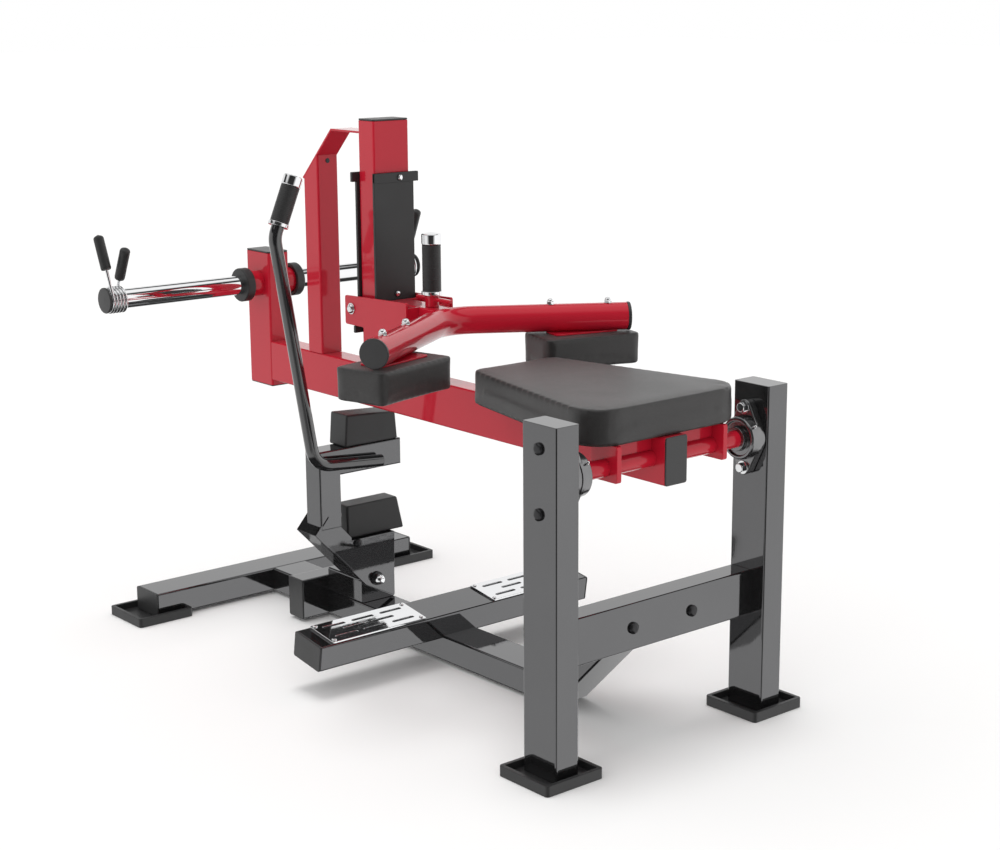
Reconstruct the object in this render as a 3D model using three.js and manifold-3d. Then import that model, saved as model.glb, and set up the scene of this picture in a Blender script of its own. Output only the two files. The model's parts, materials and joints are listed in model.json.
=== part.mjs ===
// Seated calf raise machine, plate loaded, in millimetres with +Z up.
// +Y runs from the seat to the weight horns and +X to the right of the person on the seat.
// Y = 0 is the rear face of the rear posts until the last lines centre the machine.

import * as THREE from 'three';
import { mergeVertices } from 'three/addons/utils/BufferGeometryUtils.js';
import Module from 'manifold-3d';

const wasm = await Module();
wasm.setup();

// Clearances and facet counts
const gap = 0.3;
const overrun = 20;
const weldDepth = 1;
const arcSteps = 2;
const bevelSteps = 1;
const roundSteps = 24;
const pipeSides = 12;
const vSteps = 24;

// Frame tube, also used by the lever
const frame = { wide: 100, deep: 60, wall: 3, round: 6 };
const cap = { thick: 4, plugLong: 15, bevel: 1 };

// Rubber feet
const foot = { side: 149, tall: 23, base: 7, rim: 10, round: 8, bevel: 1.5 };

// Rear posts and the tube between them
const rearPost = { inner: 264, top: 725 };
const crossTube = { rear: 37, bottom: 220 };

// Centre tube with its ramp up to the cross tube
const centreTube = { bend: 320, rampAngle: 45 };

// Foot bar with its tread plates
const footBar = { halfLong: 396, y: 755.5, z: 98, tilt: 9 };
const tread = { inner: 100, long: 260, wide: 92, thick: 4, round: 4 };
const slot = { wide: 8, rows: 3, columns: 3, end: 22, between: 18, side: 17 };

// Front floor tube
const floorTube = { halfLong: 392, rear: 1421, footInset: 12 };

// Catch cross tube and the block that carries the catch pivot
const catchTube = { halfLong: 125, rear: 1172 };
const block = { rear: 1030, lugThick: 12, lugHalf: 32, lugTop: 155, lugRound: 12 };
const pivot = { x: -10, z: 126, boltRadius: 8, headRadius: 13, headTall: 20, washerRadius: 17, washerTall: 4 };

// Lever shaft in its two flange bearings
const shaft = { y: 50, z: 612, radius: 18.5, endGap: 2 };
const bearing = { boltSpread: 65, boltEndRadius: 16, waist: 45, flangeThick: 20, flangeBevel: 1.5 };
const hub = { baseRadius: 47, faceRadius: 45.5, faceDeep: 40, chamfer: 3, recessRadius: 37, recessDeep: 5 };
const innerRing = { radius: 26, deep: 47 };

// Gussets that carry the seat on the shaft
const fin = { x: 143, thick: 12, rear: 12, bottom: 585, round: 6 };
const web = { thick: 8, riseShare: 0.9 };

// Lever beam
const beam = { rear: 3.5, bottom: 560 };

// Seat: half widths at the back and at the front, and its corners
const seat = { rear: 13, front: 513, rearHalf: 226, frontHalf: 118, rearRound: 68, frontRound: 28 };
const board = { thick: 15, inset: 9 };
const seatPad = { tall: 79, edge: 8, crown: 3 };

// Weight post, with its clear distance from the brace, and its horns and stop rings
const weightPost = { clear: 168, bottom: 546, top: 887 };
const horn = { z: 803.5, radius: 24, wall: 4, end: 456 };
const hornHub = { radius: 32, end: 74 };
const stopRing = { radius: 42, end: 82, bevel: 1.5 };
const hornCap = { radius: 31, thick: 6, plugLong: 18, bevel: 1.5 };

// Spring collars
const wire = { radius: 3.75, pitch: 8.3, sides: 5, stepsPerTurn: 12, wholeTurns: 4 };
const outerTang = { lean: 23, long: 151 };
const innerTang = { lean: 26, long: 122 };
const sleeve = { radius: 12.5, long: 87, tip: 6 };

// Brace behind the weight post, with its clear distance from the main post and its drop from the
// top of that post, and its plate
const brace = { clear: 198, drop: 158 };
const bracePlate = { thick: 5, reach: 61 };

// Main post, with its clear distance from the seat, and its guide plates
const mainPost = { clear: 429, top: 1240 };
const guide = { thick: 8, bodyHalf: 56, earHalf: 69, bottom: 743, top: 1118, earTall: 22.5, round: 2 };

// Carriage that slides on the main post, measured from the rear face of the post
const cheek = { inner: 61.6, thick: 6, rearReach: 136, frontReach: 43, bottom: 729, tall: 108, round: 8 };
const cheekNotch = { front: 30, z: 760 };
const cheekShares = { front: 0.92, rear: 0.53 };
const neck = { half: 30, bottom: 770, top: 824, round: 4, reach: 60 };
const neckWeb = { thick: 10, bottom: 790, rearSetIn: 2, frontGap: 6 };
const crossBolt = { z: 799, radius: 8, headRadius: 13, headTall: 7 };

// V tube over the thigh pads
const vTube = { z: 797, radius: 31.75, wall: 3, reach: 53.7, endX: 356, sweep: 32, bend: 120 };
const vTubeEnd = { radius: 32.5, thick: 8, round: 3 };
const padPlate = { long: 160, wide: 60, thick: 4, round: 8 };
const thighPad = {
  x: 267, setBack: 2, sweep: 14.2, long: 240, wide: 133, tall: 73, edge: 8, crown: 2, round: 14,
};

// Hand grip on the carriage
const handGrip = { reach: 9, stubRadius: 16, stubTall: 25, ringRadius: 24, ringTall: 11 };
const gripRubber = { radius: 21.5, long: 106 };
const gripCap = { radius: 22.5, tall: 28, dome: 6 };

// Release lever through the foot of the hand grip
const release = {
  rearReach: 70, frontReach: 53, z: 842, wide: 12, thick: 9, slotTall: 13, round: 3, bevel: 2,
};

// Catch stand: a flanged back plate with a post and an arm
const catchRear = 1022;
const catchPlate = { left: -185, bottom: 72, wide: 232, tall: 236, thick: 7.5, flange: 5, flangeDeep: 80 };
const catchLedge = { deep: 50 };
const catchPlateShares = [
  [0.16, 1], [0, 0.82], [0.62, 0.18], [0.98, 0], [1, 0.69],
  [0.45, 0.69], [0.45, 0.72], [0.31, 0.87], [0.335, 1],
];
const flangeEndShare = 0.87;
const standPost = { left: -169, wide: 62, deep: 60, bottom: 272, top: 466, round: 6 };
const standArm = { right: 71, tall: 64 };

// Rubber bumpers of the catch
const upperBumper = { left: -93, right: 62, topLeft: 544, topRight: 535, topInset: 6, deep: 68, bevel: 5 };
const lowerBumper = { left: -83, right: 85, top: 317, topRight: 66, rear: 1027, deep: 54, bevel: 5 };

// Catch handle, a bent tube behind the stand
const handle = { radius: 15, wall: 2.5, footX: -1, footZ: 424, elbowX: -192, elbowZ: 440 };
const handleTop = { wristX: -282, wristZ: 985, tipX: -229, tipZ: 1111, bend: 60, steps: 36 };
const handleGrip = { start: 26, ringTall: 9, capTall: 12 };

// Places that follow from the sizes above
const sides = [['left', -1], ['right', 1]];
const tubeBottom = foot.base + gap;
const postX = rearPost.inner + frame.deep / 2;
const postY = frame.wide / 2;
const crossTubeFront = crossTube.rear + frame.deep;
const centreTop = tubeBottom + frame.deep;
const catchTubeFront = catchTube.rear + frame.deep;
const floorTubeY = floorTube.rear + frame.wide / 2;
const footX = floorTube.halfLong - floorTube.footInset;
const slotRoom = tread.long - 2 * slot.end - (slot.columns - 1) * slot.between;
const slotLong = slotRoom / slot.columns;
const slotPitch = slotLong + slot.between;
const slotRowPitch = (tread.wide - 2 * slot.side - slot.wide) / (slot.rows - 1);
const beamTop = beam.bottom + frame.wide;
const mainPostRear = seat.front + mainPost.clear;
const mainPostY = mainPostRear + frame.deep / 2;
const mainPostFront = mainPostRear + frame.deep;
const braceRear = mainPostFront + brace.clear;
const braceFront = braceRear + frame.deep;
const braceLow = mainPost.top - brace.drop;
const weightPostRear = braceFront + weightPost.clear;
const hornY = weightPostRear + frame.wide / 2;
const cheekRear = mainPostRear - cheek.rearReach;
const cheekFront = mainPostFront + cheek.frontReach;
const crossBoltY = mainPostFront + gap + guide.thick + gap + crossBolt.radius;
const vApexY = cheekRear - vTube.reach;
const padPlateTop = vTube.z - vTube.radius + vTube.wall / 2;
const thighPadY = vApexY - Math.tan(THREE.MathUtils.degToRad(vTube.sweep)) * thighPad.x - thighPad.setBack;
const handGripY = cheekRear - handGrip.reach;

const finishes = {
  framePaint: { color: 0x6a6a6b, roughness: 0.28, metalness: 0.1 },
  leverPaint: { color: 0xb02a33, roughness: 0.25, metalness: 0.1 },
  blackPaint: { color: 0x151516, roughness: 0.2, metalness: 0.1 },
  rubber: { color: 0x2d2d2e, roughness: 0.75, metalness: 0 },
  plastic: { color: 0x3a3a3b, roughness: 0.5, metalness: 0 },
  vinyl: { color: 0x38373a, roughness: 0.45, metalness: 0 },
  chrome: { color: 0xd8d8da, roughness: 0.12, metalness: 1 },
  castIron: { color: 0x4a4a4c, roughness: 0.4, metalness: 0.3 },
  plywood: { color: 0x2a2523, roughness: 0.8, metalness: 0 },
};

function piece(name, geometry, finish, x = 0, y = 0, z = 0) {
  const mesh = new THREE.Mesh(geometry, new THREE.MeshStandardMaterial(finishes[finish]));
  mesh.name = name;
  mesh.position.set(x, y, z);
  return mesh;
}

// Solids

function weld(geometry) {
  const bare = geometry.clone();
  bare.deleteAttribute('normal');
  bare.deleteAttribute('uv');
  const merged = mergeVertices(bare);
  const index = merged.index.array;
  const kept = [];
  for (let i = 0; i < index.length; i += 3) {
    const [a, b, c] = [index[i], index[i + 1], index[i + 2]];
    if (a !== b && b !== c && c !== a) kept.push(a, b, c);
  }
  merged.setIndex(kept);
  return merged;
}

function solid(geometry) {
  const merged = weld(geometry);
  const vertProperties = Float32Array.from(merged.attributes.position.array);
  const triVerts = Uint32Array.from(merged.index.array);
  return new wasm.Manifold(new wasm.Mesh({ numProp: 3, vertProperties, triVerts }));
}

function surface(body) {
  const mesh = body.getMesh();
  const geometry = new THREE.BufferGeometry();
  geometry.setAttribute('position', new THREE.BufferAttribute(Float32Array.from(mesh.vertProperties), 3));
  geometry.setIndex(Array.from(mesh.triVerts));
  return geometry;
}

function join(...geometries) {
  return surface(geometries.map(solid).reduce((whole, next) => whole.add(next)));
}

function cut(geometry, ...tools) {
  return surface(tools.map(solid).reduce((rest, tool) => rest.subtract(tool), solid(geometry)));
}

function keep(geometry, region) {
  return surface(solid(geometry).intersect(solid(region)));
}

function moved(geometry, x, y, z) {
  return geometry.clone().translate(x, y, z);
}

// Prisms, centred along their axis. Along x the outline is in (y, z), along y in (x, z).
const axisBases = {
  x: new THREE.Matrix4().makeBasis(vector(0, 1, 0), vector(0, 0, 1), vector(1, 0, 0)),
  y: new THREE.Matrix4().makeBasis(vector(1, 0, 0), vector(0, 0, 1), vector(0, -1, 0)),
  z: new THREE.Matrix4(),
};

function vector(x, y, z) {
  return new THREE.Vector3(x, y, z);
}

function prism(outline, long, axis, bevel = 0) {
  const depth = long - 2 * bevel;
  const geometry = new THREE.ExtrudeGeometry(outline, {
    depth,
    bevelEnabled: bevel > 0,
    bevelThickness: bevel,
    bevelSize: bevel,
    bevelOffset: -bevel,
    bevelSegments: bevelSteps,
    curveSegments: arcSteps,
  });
  geometry.translate(0, 0, -depth / 2);
  return geometry.applyMatrix4(axisBases[axis]);
}

function box(x0, x1, y0, y1, z0, z1) {
  const geometry = new THREE.BoxGeometry(x1 - x0, y1 - y0, z1 - z0);
  return geometry.translate((x0 + x1) / 2, (y0 + y1) / 2, (z0 + z1) / 2);
}

// Outline with every corner rounded by the same amount
function rounded(points, round) {
  const shape = new THREE.Shape();
  points.forEach(([x, y], i) => {
    const corner = new THREE.Vector2(x, y);
    const before = new THREE.Vector2(...points.at(i - 1)).sub(corner).setLength(round).add(corner);
    const next = points[(i + 1) % points.length];
    const after = new THREE.Vector2(...next).sub(corner).setLength(round).add(corner);
    if (i === 0) shape.moveTo(before.x, before.y);
    else shape.lineTo(before.x, before.y);
    if (round > 0) shape.quadraticCurveTo(x, y, after.x, after.y);
  });
  shape.closePath();
  return shape;
}

function rectangle(wide, tall, round = 0) {
  const [x, y] = [wide / 2, tall / 2];
  if (round === 0) {
    return new THREE.Shape([[-x, -y], [x, -y], [x, y], [-x, y]].map((p) => new THREE.Vector2(...p)));
  }
  const shape = new THREE.Shape();
  shape.absarc(x - round, y - round, round, 0, Math.PI / 2);
  shape.absarc(round - x, y - round, round, Math.PI / 2, Math.PI);
  shape.absarc(round - x, round - y, round, Math.PI, 1.5 * Math.PI);
  shape.absarc(x - round, round - y, round, 1.5 * Math.PI, 2 * Math.PI);
  shape.closePath();
  return shape;
}

// Rectangular tube, open at both ends
function boxTube(wide, tall, long, axis) {
  const shape = rectangle(wide, tall, frame.round);
  const bore = rectangle(wide - 2 * frame.wall, tall - 2 * frame.wall);
  shape.holes.push(new THREE.Path(bore.getPoints(1)));
  return prism(shape, long, axis);
}

// End cap with a plug that fits the bore; sign says which end of the axis it closes
function tubeCap(wide, tall, axis, sign) {
  const loss = 2 * (frame.wall + gap);
  const plate = prism(rectangle(wide, tall, frame.round), cap.thick, axis, cap.bevel);
  const plug = prism(rectangle(wide - loss, tall - loss), cap.plugLong + weldDepth, axis);
  const away = vector(0, 0, 0);
  away[axis] = sign;
  const middle = cap.thick / 2 + gap;
  const plugMiddle = gap - (cap.plugLong - weldDepth) / 2;
  plate.translate(...away.clone().multiplyScalar(middle).toArray());
  plug.translate(...away.clone().multiplyScalar(plugMiddle).toArray());
  return join(plate, plug);
}

// Strip of even thickness to the left of a line of points
function strip(points, thick) {
  const line = points.map(([x, y]) => new THREE.Vector2(x, y));
  const inner = line.map((point, i) => {
    const before = line[Math.max(i - 1, 0)];
    const after = line[Math.min(i + 1, line.length - 1)];
    const turns = [[before, point], [point, after]].filter(([a, b]) => a !== b);
    const normals = turns.map(([a, b]) => {
      return b.clone().sub(a).normalize().rotateAround(new THREE.Vector2(), Math.PI / 2);
    });
    const middle = normals.reduce((sum, n) => sum.add(n), new THREE.Vector2()).normalize();
    return middle.multiplyScalar(thick / middle.dot(normals[0])).add(point);
  });
  return new THREE.Shape([...line, ...inner.reverse()]);
}

// Turned piece about +Z from a profile of [radius, height] points that ends on the axis or closes
function turned(profile, steps = roundSteps) {
  const geometry = new THREE.LatheGeometry(profile.map(([r, z]) => new THREE.Vector2(r, z)), steps);
  return weld(geometry.rotateX(Math.PI / 2));
}

function rod(radius, from, to, axis, steps = roundSteps) {
  const geometry = turned([[0, from], [radius, from], [radius, to], [0, to]], steps);
  if (axis === 'x') geometry.rotateY(Math.PI / 2);
  if (axis === 'y') geometry.rotateX(-Math.PI / 2);
  return geometry;
}

function pipe(path, radius, wall, steps) {
  const shape = new THREE.Shape(circle(radius, pipeSides));
  if (wall > 0) shape.holes.push(new THREE.Path(circle(radius - wall, pipeSides).reverse()));
  return new THREE.ExtrudeGeometry(shape, { steps, extrudePath: path });
}

function circle(radius, count) {
  return Array.from({ length: count }, (_, i) => {
    const angle = (2 * Math.PI * i) / count;
    return new THREE.Vector2(radius * Math.cos(angle), radius * Math.sin(angle));
  });
}

// Line through points with a bend of one radius at each inner point
function bentPath(points, radius) {
  const path = new THREE.CurvePath();
  let start = points[0];
  for (let i = 1; i < points.length - 1; i += 1) {
    const back = points[i - 1].clone().sub(points[i]).normalize();
    const ahead = points[i + 1].clone().sub(points[i]).normalize();
    const reach = radius / Math.tan(back.angleTo(ahead) / 2);
    const into = points[i].clone().addScaledVector(back, reach);
    const out = points[i].clone().addScaledVector(ahead, reach);
    path.add(new THREE.LineCurve3(start, into));
    path.add(new THREE.QuadraticBezierCurve3(into, points[i], out));
    start = out;
  }
  path.add(new THREE.LineCurve3(start, points.at(-1)));
  return path;
}

// Cushion: rings of one outline with rounded edges below and above and a low crown on top
const cushionCornerSteps = 5;
const cushionSideSteps = 4;
const underShares = [[0.5, 0], [0.1, 0.4], [0, 1]];
const overShares = [[0, 1], [0.13, 0.5], [0.5, 0.13], [1, 0]];
const crownShares = [[0.9, 0.4], [0.6, 0.85]];

function cushionRing(corners, inset) {
  const ring = [];
  const count = corners.length;
  const arcs = corners.map((corner, i) => {
    const here = new THREE.Vector2(corner.x, corner.y);
    const last = corners[(i + count - 1) % count];
    const next = corners[(i + 1) % count];
    const from = new THREE.Vector2(here.y - last.y, last.x - here.x).normalize();
    const to = new THREE.Vector2(next.y - here.y, here.x - next.x).normalize();
    const centre = here.sub(from.clone().add(to).multiplyScalar(corner.round / (1 + from.dot(to))));
    const turn = Math.acos(THREE.MathUtils.clamp(from.dot(to), -1, 1));
    return Array.from({ length: cushionCornerSteps + 1 }, (_, k) => {
      const spoke = from.clone().rotateAround(new THREE.Vector2(), (turn * k) / cushionCornerSteps);
      return spoke.multiplyScalar(corner.round - inset).add(centre);
    });
  });
  arcs.forEach((arc, i) => {
    ring.push(...arc);
    const next = arcs[(i + 1) % count][0];
    for (let k = 1; k < cushionSideSteps; k += 1) {
      ring.push(arc.at(-1).clone().lerp(next, k / cushionSideSteps));
    }
  });
  return ring;
}

function cushion(corners, tall, edge, crown) {
  const ringAt = (inset, height) => cushionRing(corners, inset).map((p) => vector(p.x, p.y, height));
  const rings = underShares.map(([inward, up]) => ringAt(inward * edge, up * edge));
  rings.push(...overShares.map(([inward, down]) => ringAt(inward * edge, tall - crown - down * edge)));
  const top = cushionRing(corners, edge);
  const middle = top.reduce((sum, p) => sum.add(p), new THREE.Vector2()).divideScalar(top.length);
  for (const [spread, up] of crownShares) {
    const height = tall - crown + up * crown;
    rings.push(top.map((p) => vector(...p.clone().sub(middle).multiplyScalar(spread).add(middle), height)));
  }
  return loft(rings, vector(middle.x, middle.y, 0), vector(middle.x, middle.y, tall));
}

function loft(rings, floor, peak) {
  const count = rings[0].length;
  const points = [...rings.flat(), floor, peak];
  const index = [];
  for (let i = 0; i < count; i += 1) {
    const j = (i + 1) % count;
    const last = (rings.length - 1) * count;
    index.push(rings.length * count, j, i);
    index.push(rings.length * count + 1, last + i, last + j);
    for (let k = 0; k < last; k += count) {
      index.push(k + i, k + j, k + count + j, k + i, k + count + j, k + count + i);
    }
  }
  const geometry = new THREE.BufferGeometry().setFromPoints(points);
  geometry.setIndex(index);
  return geometry;
}

// Base pieces

function rearPostTube() {
  const bottom = tubeBottom;
  const outer = prism(rectangle(frame.deep, frame.wide, frame.round), rearPost.top - bottom, 'z');
  const boreTall = rearPost.top - bottom - frame.wall + overrun;
  const bore = prism(rectangle(frame.deep - 2 * frame.wall, frame.wide - 2 * frame.wall), boreTall, 'z');
  return cut(outer, moved(bore, 0, 0, -(frame.wall + overrun) / 2));
}

function rubberFoot(tubeSide) {
  const block = prism(rectangle(foot.side, foot.side, foot.round), foot.tall, 'z', foot.bevel);
  const outer = moved(block, 0, 0, foot.tall / 2);
  const pocketSide = foot.side - 2 * foot.rim;
  const pocket = prism(rectangle(pocketSide, pocketSide, foot.round / 2), foot.tall, 'z');
  const tray = cut(outer, moved(pocket, 0, 0, foot.base + foot.tall / 2));
  if (tubeSide === 0) return tray;
  const reach = foot.side / 2 + overrun;
  const tubeHalf = frame.wide / 2 + gap;
  const notch = box(-reach, 0, -tubeHalf, tubeHalf, foot.base, foot.tall + overrun);
  if (tubeSide < 0) notch.rotateZ(Math.PI);
  return cut(tray, notch);
}

// Side view of the centre tube: flat stretch and ramp, inset by the wall for the bore
function centreOutline(inset, reach) {
  const angle = THREE.MathUtils.degToRad(centreTube.rampAngle);
  const underRamp = (y) => tubeBottom + (centreTube.bend - y) * Math.tan(angle);
  const rise = (frame.deep - 2 * inset) / Math.cos(angle);
  const low = tubeBottom + inset;
  const high = centreTop - inset;
  const shift = inset * Math.tan(angle / 2);
  const end = crossTubeFront - reach;
  const under = underRamp(end) + inset / Math.cos(angle);
  const front = catchTube.rear + reach;
  return new THREE.Shape([
    new THREE.Vector2(end, under),
    new THREE.Vector2(centreTube.bend + shift, low),
    new THREE.Vector2(front, low),
    new THREE.Vector2(front, high),
    new THREE.Vector2(centreTube.bend + (frame.deep - inset) * Math.tan(angle / 2), high),
    new THREE.Vector2(end, under + rise),
  ]);
}

function centreTubeBody() {
  const outer = prism(centreOutline(0, overrun), frame.wide, 'x', frame.round / 2);
  const bore = prism(centreOutline(frame.wall, 2 * overrun), frame.wide - 2 * frame.wall, 'x');
  const reach = rearPost.top;
  const room = box(-reach, reach, crossTubeFront + gap, catchTube.rear - gap, 0, reach);
  return keep(cut(outer, bore), room);
}

function footBarBody() {
  const long = 2 * (footBar.halfLong - cap.thick - gap);
  const bar = boxTube(frame.wide, frame.deep, long, 'x');
  const tilt = THREE.MathUtils.degToRad(footBar.tilt);
  const half = frame.wide / 2 + gap;
  const saddle = box(-half, half, -frame.wide, frame.wide, -frame.wide, centreTop + gap - footBar.z);
  return cut(bar, saddle.rotateX(-tilt));
}

function treadPlate() {
  const plate = rectangle(tread.long, tread.wide, tread.round);
  for (let row = 0; row < slot.rows; row += 1) {
    const count = slot.columns - (row % 2);
    for (let column = 0; column < count; column += 1) {
      const x = (column - (count - 1) / 2) * slotPitch;
      const y = (row - (slot.rows - 1) / 2) * slotRowPitch;
      const hole = rectangle(slotLong, slot.wide, slot.wide / 2).getPoints(1);
      plate.holes.push(new THREE.Path(hole.slice(0, -1).map((p) => new THREE.Vector2(p.x + x, p.y + y))));
    }
  }
  return prism(plate, tread.thick, 'z');
}

function catchCrossTube() {
  const cross = boxTube(frame.deep, frame.wide, 2 * catchTube.halfLong, 'x');
  const crossZ = tubeBottom + frame.wide / 2;
  const long = floorTube.rear - gap - catchTubeFront + weldDepth;
  const front = boxTube(frame.wide, frame.deep, long, 'y');
  const frontY = catchTubeFront - weldDepth + long / 2;
  return join(
    moved(cross, 0, catchTube.rear + frame.deep / 2, crossZ),
    moved(front, 0, frontY, tubeBottom + frame.deep / 2),
  );
}

function pivotBlock() {
  const bottom = centreTop + gap;
  const top = bottom + frame.deep;
  const half = frame.wide / 2;
  const lug = rounded([
    [-half, bottom], [half, bottom], [half, top], [block.lugHalf, block.lugTop],
    [-block.lugHalf, block.lugTop], [-half, top],
  ], block.lugRound / 2);
  const plate = moved(prism(lug, block.lugThick, 'y'), 0, block.rear + block.lugThick / 2, 0);
  const start = block.rear + block.lugThick - weldDepth;
  const long = catchTube.rear - gap - start;
  const middle = bottom + frame.deep / 2;
  const tube = moved(boxTube(frame.wide, frame.deep, long, 'y'), 0, start + long / 2, middle);
  const hole = rod(pivot.boltRadius + gap, block.rear - overrun, block.rear + block.lugThick, 'y');
  return cut(join(plate, tube), moved(hole, pivot.x, 0, pivot.z));
}

// Two bolt flange bearing, drawn with its axis along +Z and its foot at z = 0
function bearingHousing() {
  const tangent = Math.acos((bearing.waist - bearing.boltEndRadius) / bearing.boltSpread);
  const turn = Math.PI;
  const oval = new THREE.Shape();
  oval.absarc(bearing.boltSpread, 0, bearing.boltEndRadius, -tangent, tangent);
  oval.absarc(0, 0, bearing.waist, tangent, turn - tangent);
  oval.absarc(-bearing.boltSpread, 0, bearing.boltEndRadius, turn - tangent, turn + tangent);
  oval.absarc(0, 0, bearing.waist, turn + tangent, 2 * turn - tangent);
  const flange = prism(oval, bearing.flangeThick, 'z', bearing.flangeBevel);
  const dome = turned([
    [0, weldDepth],
    [hub.baseRadius, weldDepth],
    [hub.faceRadius, hub.faceDeep - hub.chamfer],
    [hub.faceRadius - hub.chamfer, hub.faceDeep],
    [hub.recessRadius, hub.faceDeep],
    [hub.recessRadius, hub.faceDeep - hub.recessDeep],
    [innerRing.radius, hub.faceDeep - hub.recessDeep],
    [innerRing.radius, innerRing.deep],
    [0, innerRing.deep],
  ]);
  const bore = rod(shaft.radius + gap, -overrun, innerRing.deep + overrun, 'z');
  return cut(join(moved(flange, 0, 0, bearing.flangeThick / 2), dome), bore);
}

function base() {
  const group = new THREE.Group();
  const postTall = rearPost.top - tubeBottom;
  const crossHalf = rearPost.inner - gap;
  const cross = boxTube(frame.deep, frame.wide, 2 * crossHalf, 'x');
  const crossY = crossTube.rear + frame.deep / 2;
  for (const [side, sign] of sides) {
    const postZ = tubeBottom + postTall / 2;
    group.add(piece(`rear_post_${side}`, rearPostTube(), 'framePaint', sign * postX, postY, postZ));
    group.add(piece(`rear_foot_${side}`, rubberFoot(0), 'rubber', sign * postX, postY));
    group.add(piece(`front_foot_${side}`, rubberFoot(sign), 'rubber', sign * footX, floorTubeY));
    const housing = bearingHousing().rotateY((-sign * Math.PI) / 2);
    const housingX = sign * (rearPost.inner - gap);
    group.add(piece(`bearing_housing_${side}`, housing, 'castIron', housingX, shaft.y, shaft.z));
  }
  group.add(piece('rear_cross_tube', cross, 'framePaint', 0, crossY, crossTube.bottom + frame.wide / 2));
  group.add(piece('centre_tube', centreTubeBody(), 'framePaint'));
  group.add(piece('catch_cross_tube', catchCrossTube(), 'framePaint'));
  group.add(piece('catch_pivot_block', pivotBlock(), 'framePaint'));
  group.add(floorTubeGroup());
  group.add(footBarGroup());
  return group;
}

function floorTubeGroup() {
  const group = new THREE.Group();
  const half = floorTube.halfLong - cap.thick - gap;
  group.add(piece('front_floor_tube', boxTube(frame.wide, frame.deep, 2 * half, 'x'), 'framePaint'));
  for (const [side, sign] of sides) {
    const end = tubeCap(frame.wide, frame.deep, 'x', sign);
    group.add(piece(`floor_tube_cap_${side}`, end, 'plastic', sign * half));
  }
  group.position.set(0, floorTubeY, tubeBottom + frame.deep / 2);
  return group;
}

function footBarGroup() {
  const group = new THREE.Group();
  const half = footBar.halfLong - cap.thick - gap;
  const treadX = tread.inner + tread.long / 2;
  const treadZ = frame.deep / 2 + gap + tread.thick / 2;
  group.add(piece('foot_bar', footBarBody(), 'framePaint'));
  for (const [side, sign] of sides) {
    const end = tubeCap(frame.wide, frame.deep, 'x', sign);
    group.add(piece(`foot_bar_cap_${side}`, end, 'plastic', sign * half));
    group.add(piece(`tread_plate_${side}`, treadPlate(), 'chrome', sign * treadX, 0, treadZ));
  }
  group.position.set(0, footBar.y, footBar.z);
  group.rotation.x = THREE.MathUtils.degToRad(footBar.tilt);
  return group;
}

// Lever pieces

function leverBeam() {
  const start = beam.rear + cap.thick + gap;
  const long = weightPostRear - gap - start;
  const middle = beam.bottom + frame.wide / 2;
  const tube = moved(boxTube(frame.deep, frame.wide, long, 'y'), 0, start + long / 2, middle);
  const hole = rod(shaft.radius + gap, -frame.wide, frame.wide, 'x');
  return cut(tube, moved(hole, 0, shaft.y, shaft.z));
}

// Fin and web of the gusset on the right of the beam, mirrored for the left
function pivotGusset(sign) {
  const finFront = 2 * shaft.y - fin.rear;
  const side = rounded([
    [fin.rear, fin.bottom], [finFront, fin.bottom], [finFront, beamTop], [fin.rear, beamTop],
  ], fin.round);
  const finPlate = moved(prism(side, fin.thick, 'x'), fin.x + fin.thick / 2, 0, 0);
  const inner = frame.deep / 2 + gap;
  const [rear, front] = [shaft.y - web.thick / 2, shaft.y + web.thick / 2];
  const low = shaft.z + shaft.radius * web.riseShare;
  const webPlate = box(inner, fin.x + weldDepth, rear, front, low, beamTop);
  const hole = moved(rod(shaft.radius + gap, 0, rearPost.inner, 'x'), 0, shaft.y, shaft.z);
  const right = cut(join(finPlate, webPlate), hole);
  return sign > 0 ? right : mirrored(right);
}

function mirrored(geometry) {
  return surface(solid(geometry).mirror([1, 0, 0]));
}

function seatCorners() {
  return [
    { x: -seat.rearHalf, y: seat.rear, round: seat.rearRound },
    { x: seat.rearHalf, y: seat.rear, round: seat.rearRound },
    { x: seat.frontHalf, y: seat.front, round: seat.frontRound },
    { x: -seat.frontHalf, y: seat.front, round: seat.frontRound },
  ];
}

function seatBoard(clearance) {
  const ring = cushionRing(seatCorners(), board.inset - clearance);
  return prism(new THREE.Shape(ring), board.thick, 'z');
}

// Seat pad, wrapped round the board so that the board shows only from below
function seatPadBody() {
  const pad = cushion(seatCorners(), seatPad.tall, seatPad.edge, seatPad.crown);
  return cut(pad, seatBoard(gap), moved(seatBoard(gap), 0, 0, gap + board.thick / 2));
}

function weightPostBody() {
  const bottom = weightPost.bottom;
  const top = weightPost.top - cap.thick - gap;
  const tube = moved(boxTube(frame.deep, frame.wide, top - bottom, 'z'), 0, hornY, (top + bottom) / 2);
  const start = frame.deep / 2 - weldDepth;
  const ends = [[-hornHub.end, -start], [start, hornHub.end]];
  const bosses = ends.map(([from, to]) => moved(rod(hornHub.radius, from, to, 'x'), 0, hornY, horn.z));
  return join(tube, ...bosses);
}

function weightHorn() {
  const start = hornHub.end + gap;
  const inner = horn.radius - horn.wall;
  return turned([
    [inner, start], [horn.radius, start], [horn.radius, horn.end], [inner, horn.end], [inner, start],
  ]);
}

function hornStopRing() {
  const start = hornHub.end + gap;
  const bore = horn.radius + gap;
  const { radius, end, bevel } = stopRing;
  return turned([
    [bore, start], [radius - bevel, start], [radius, start + bevel],
    [radius, end - bevel], [radius - bevel, end], [bore, end], [bore, start],
  ]);
}

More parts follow.
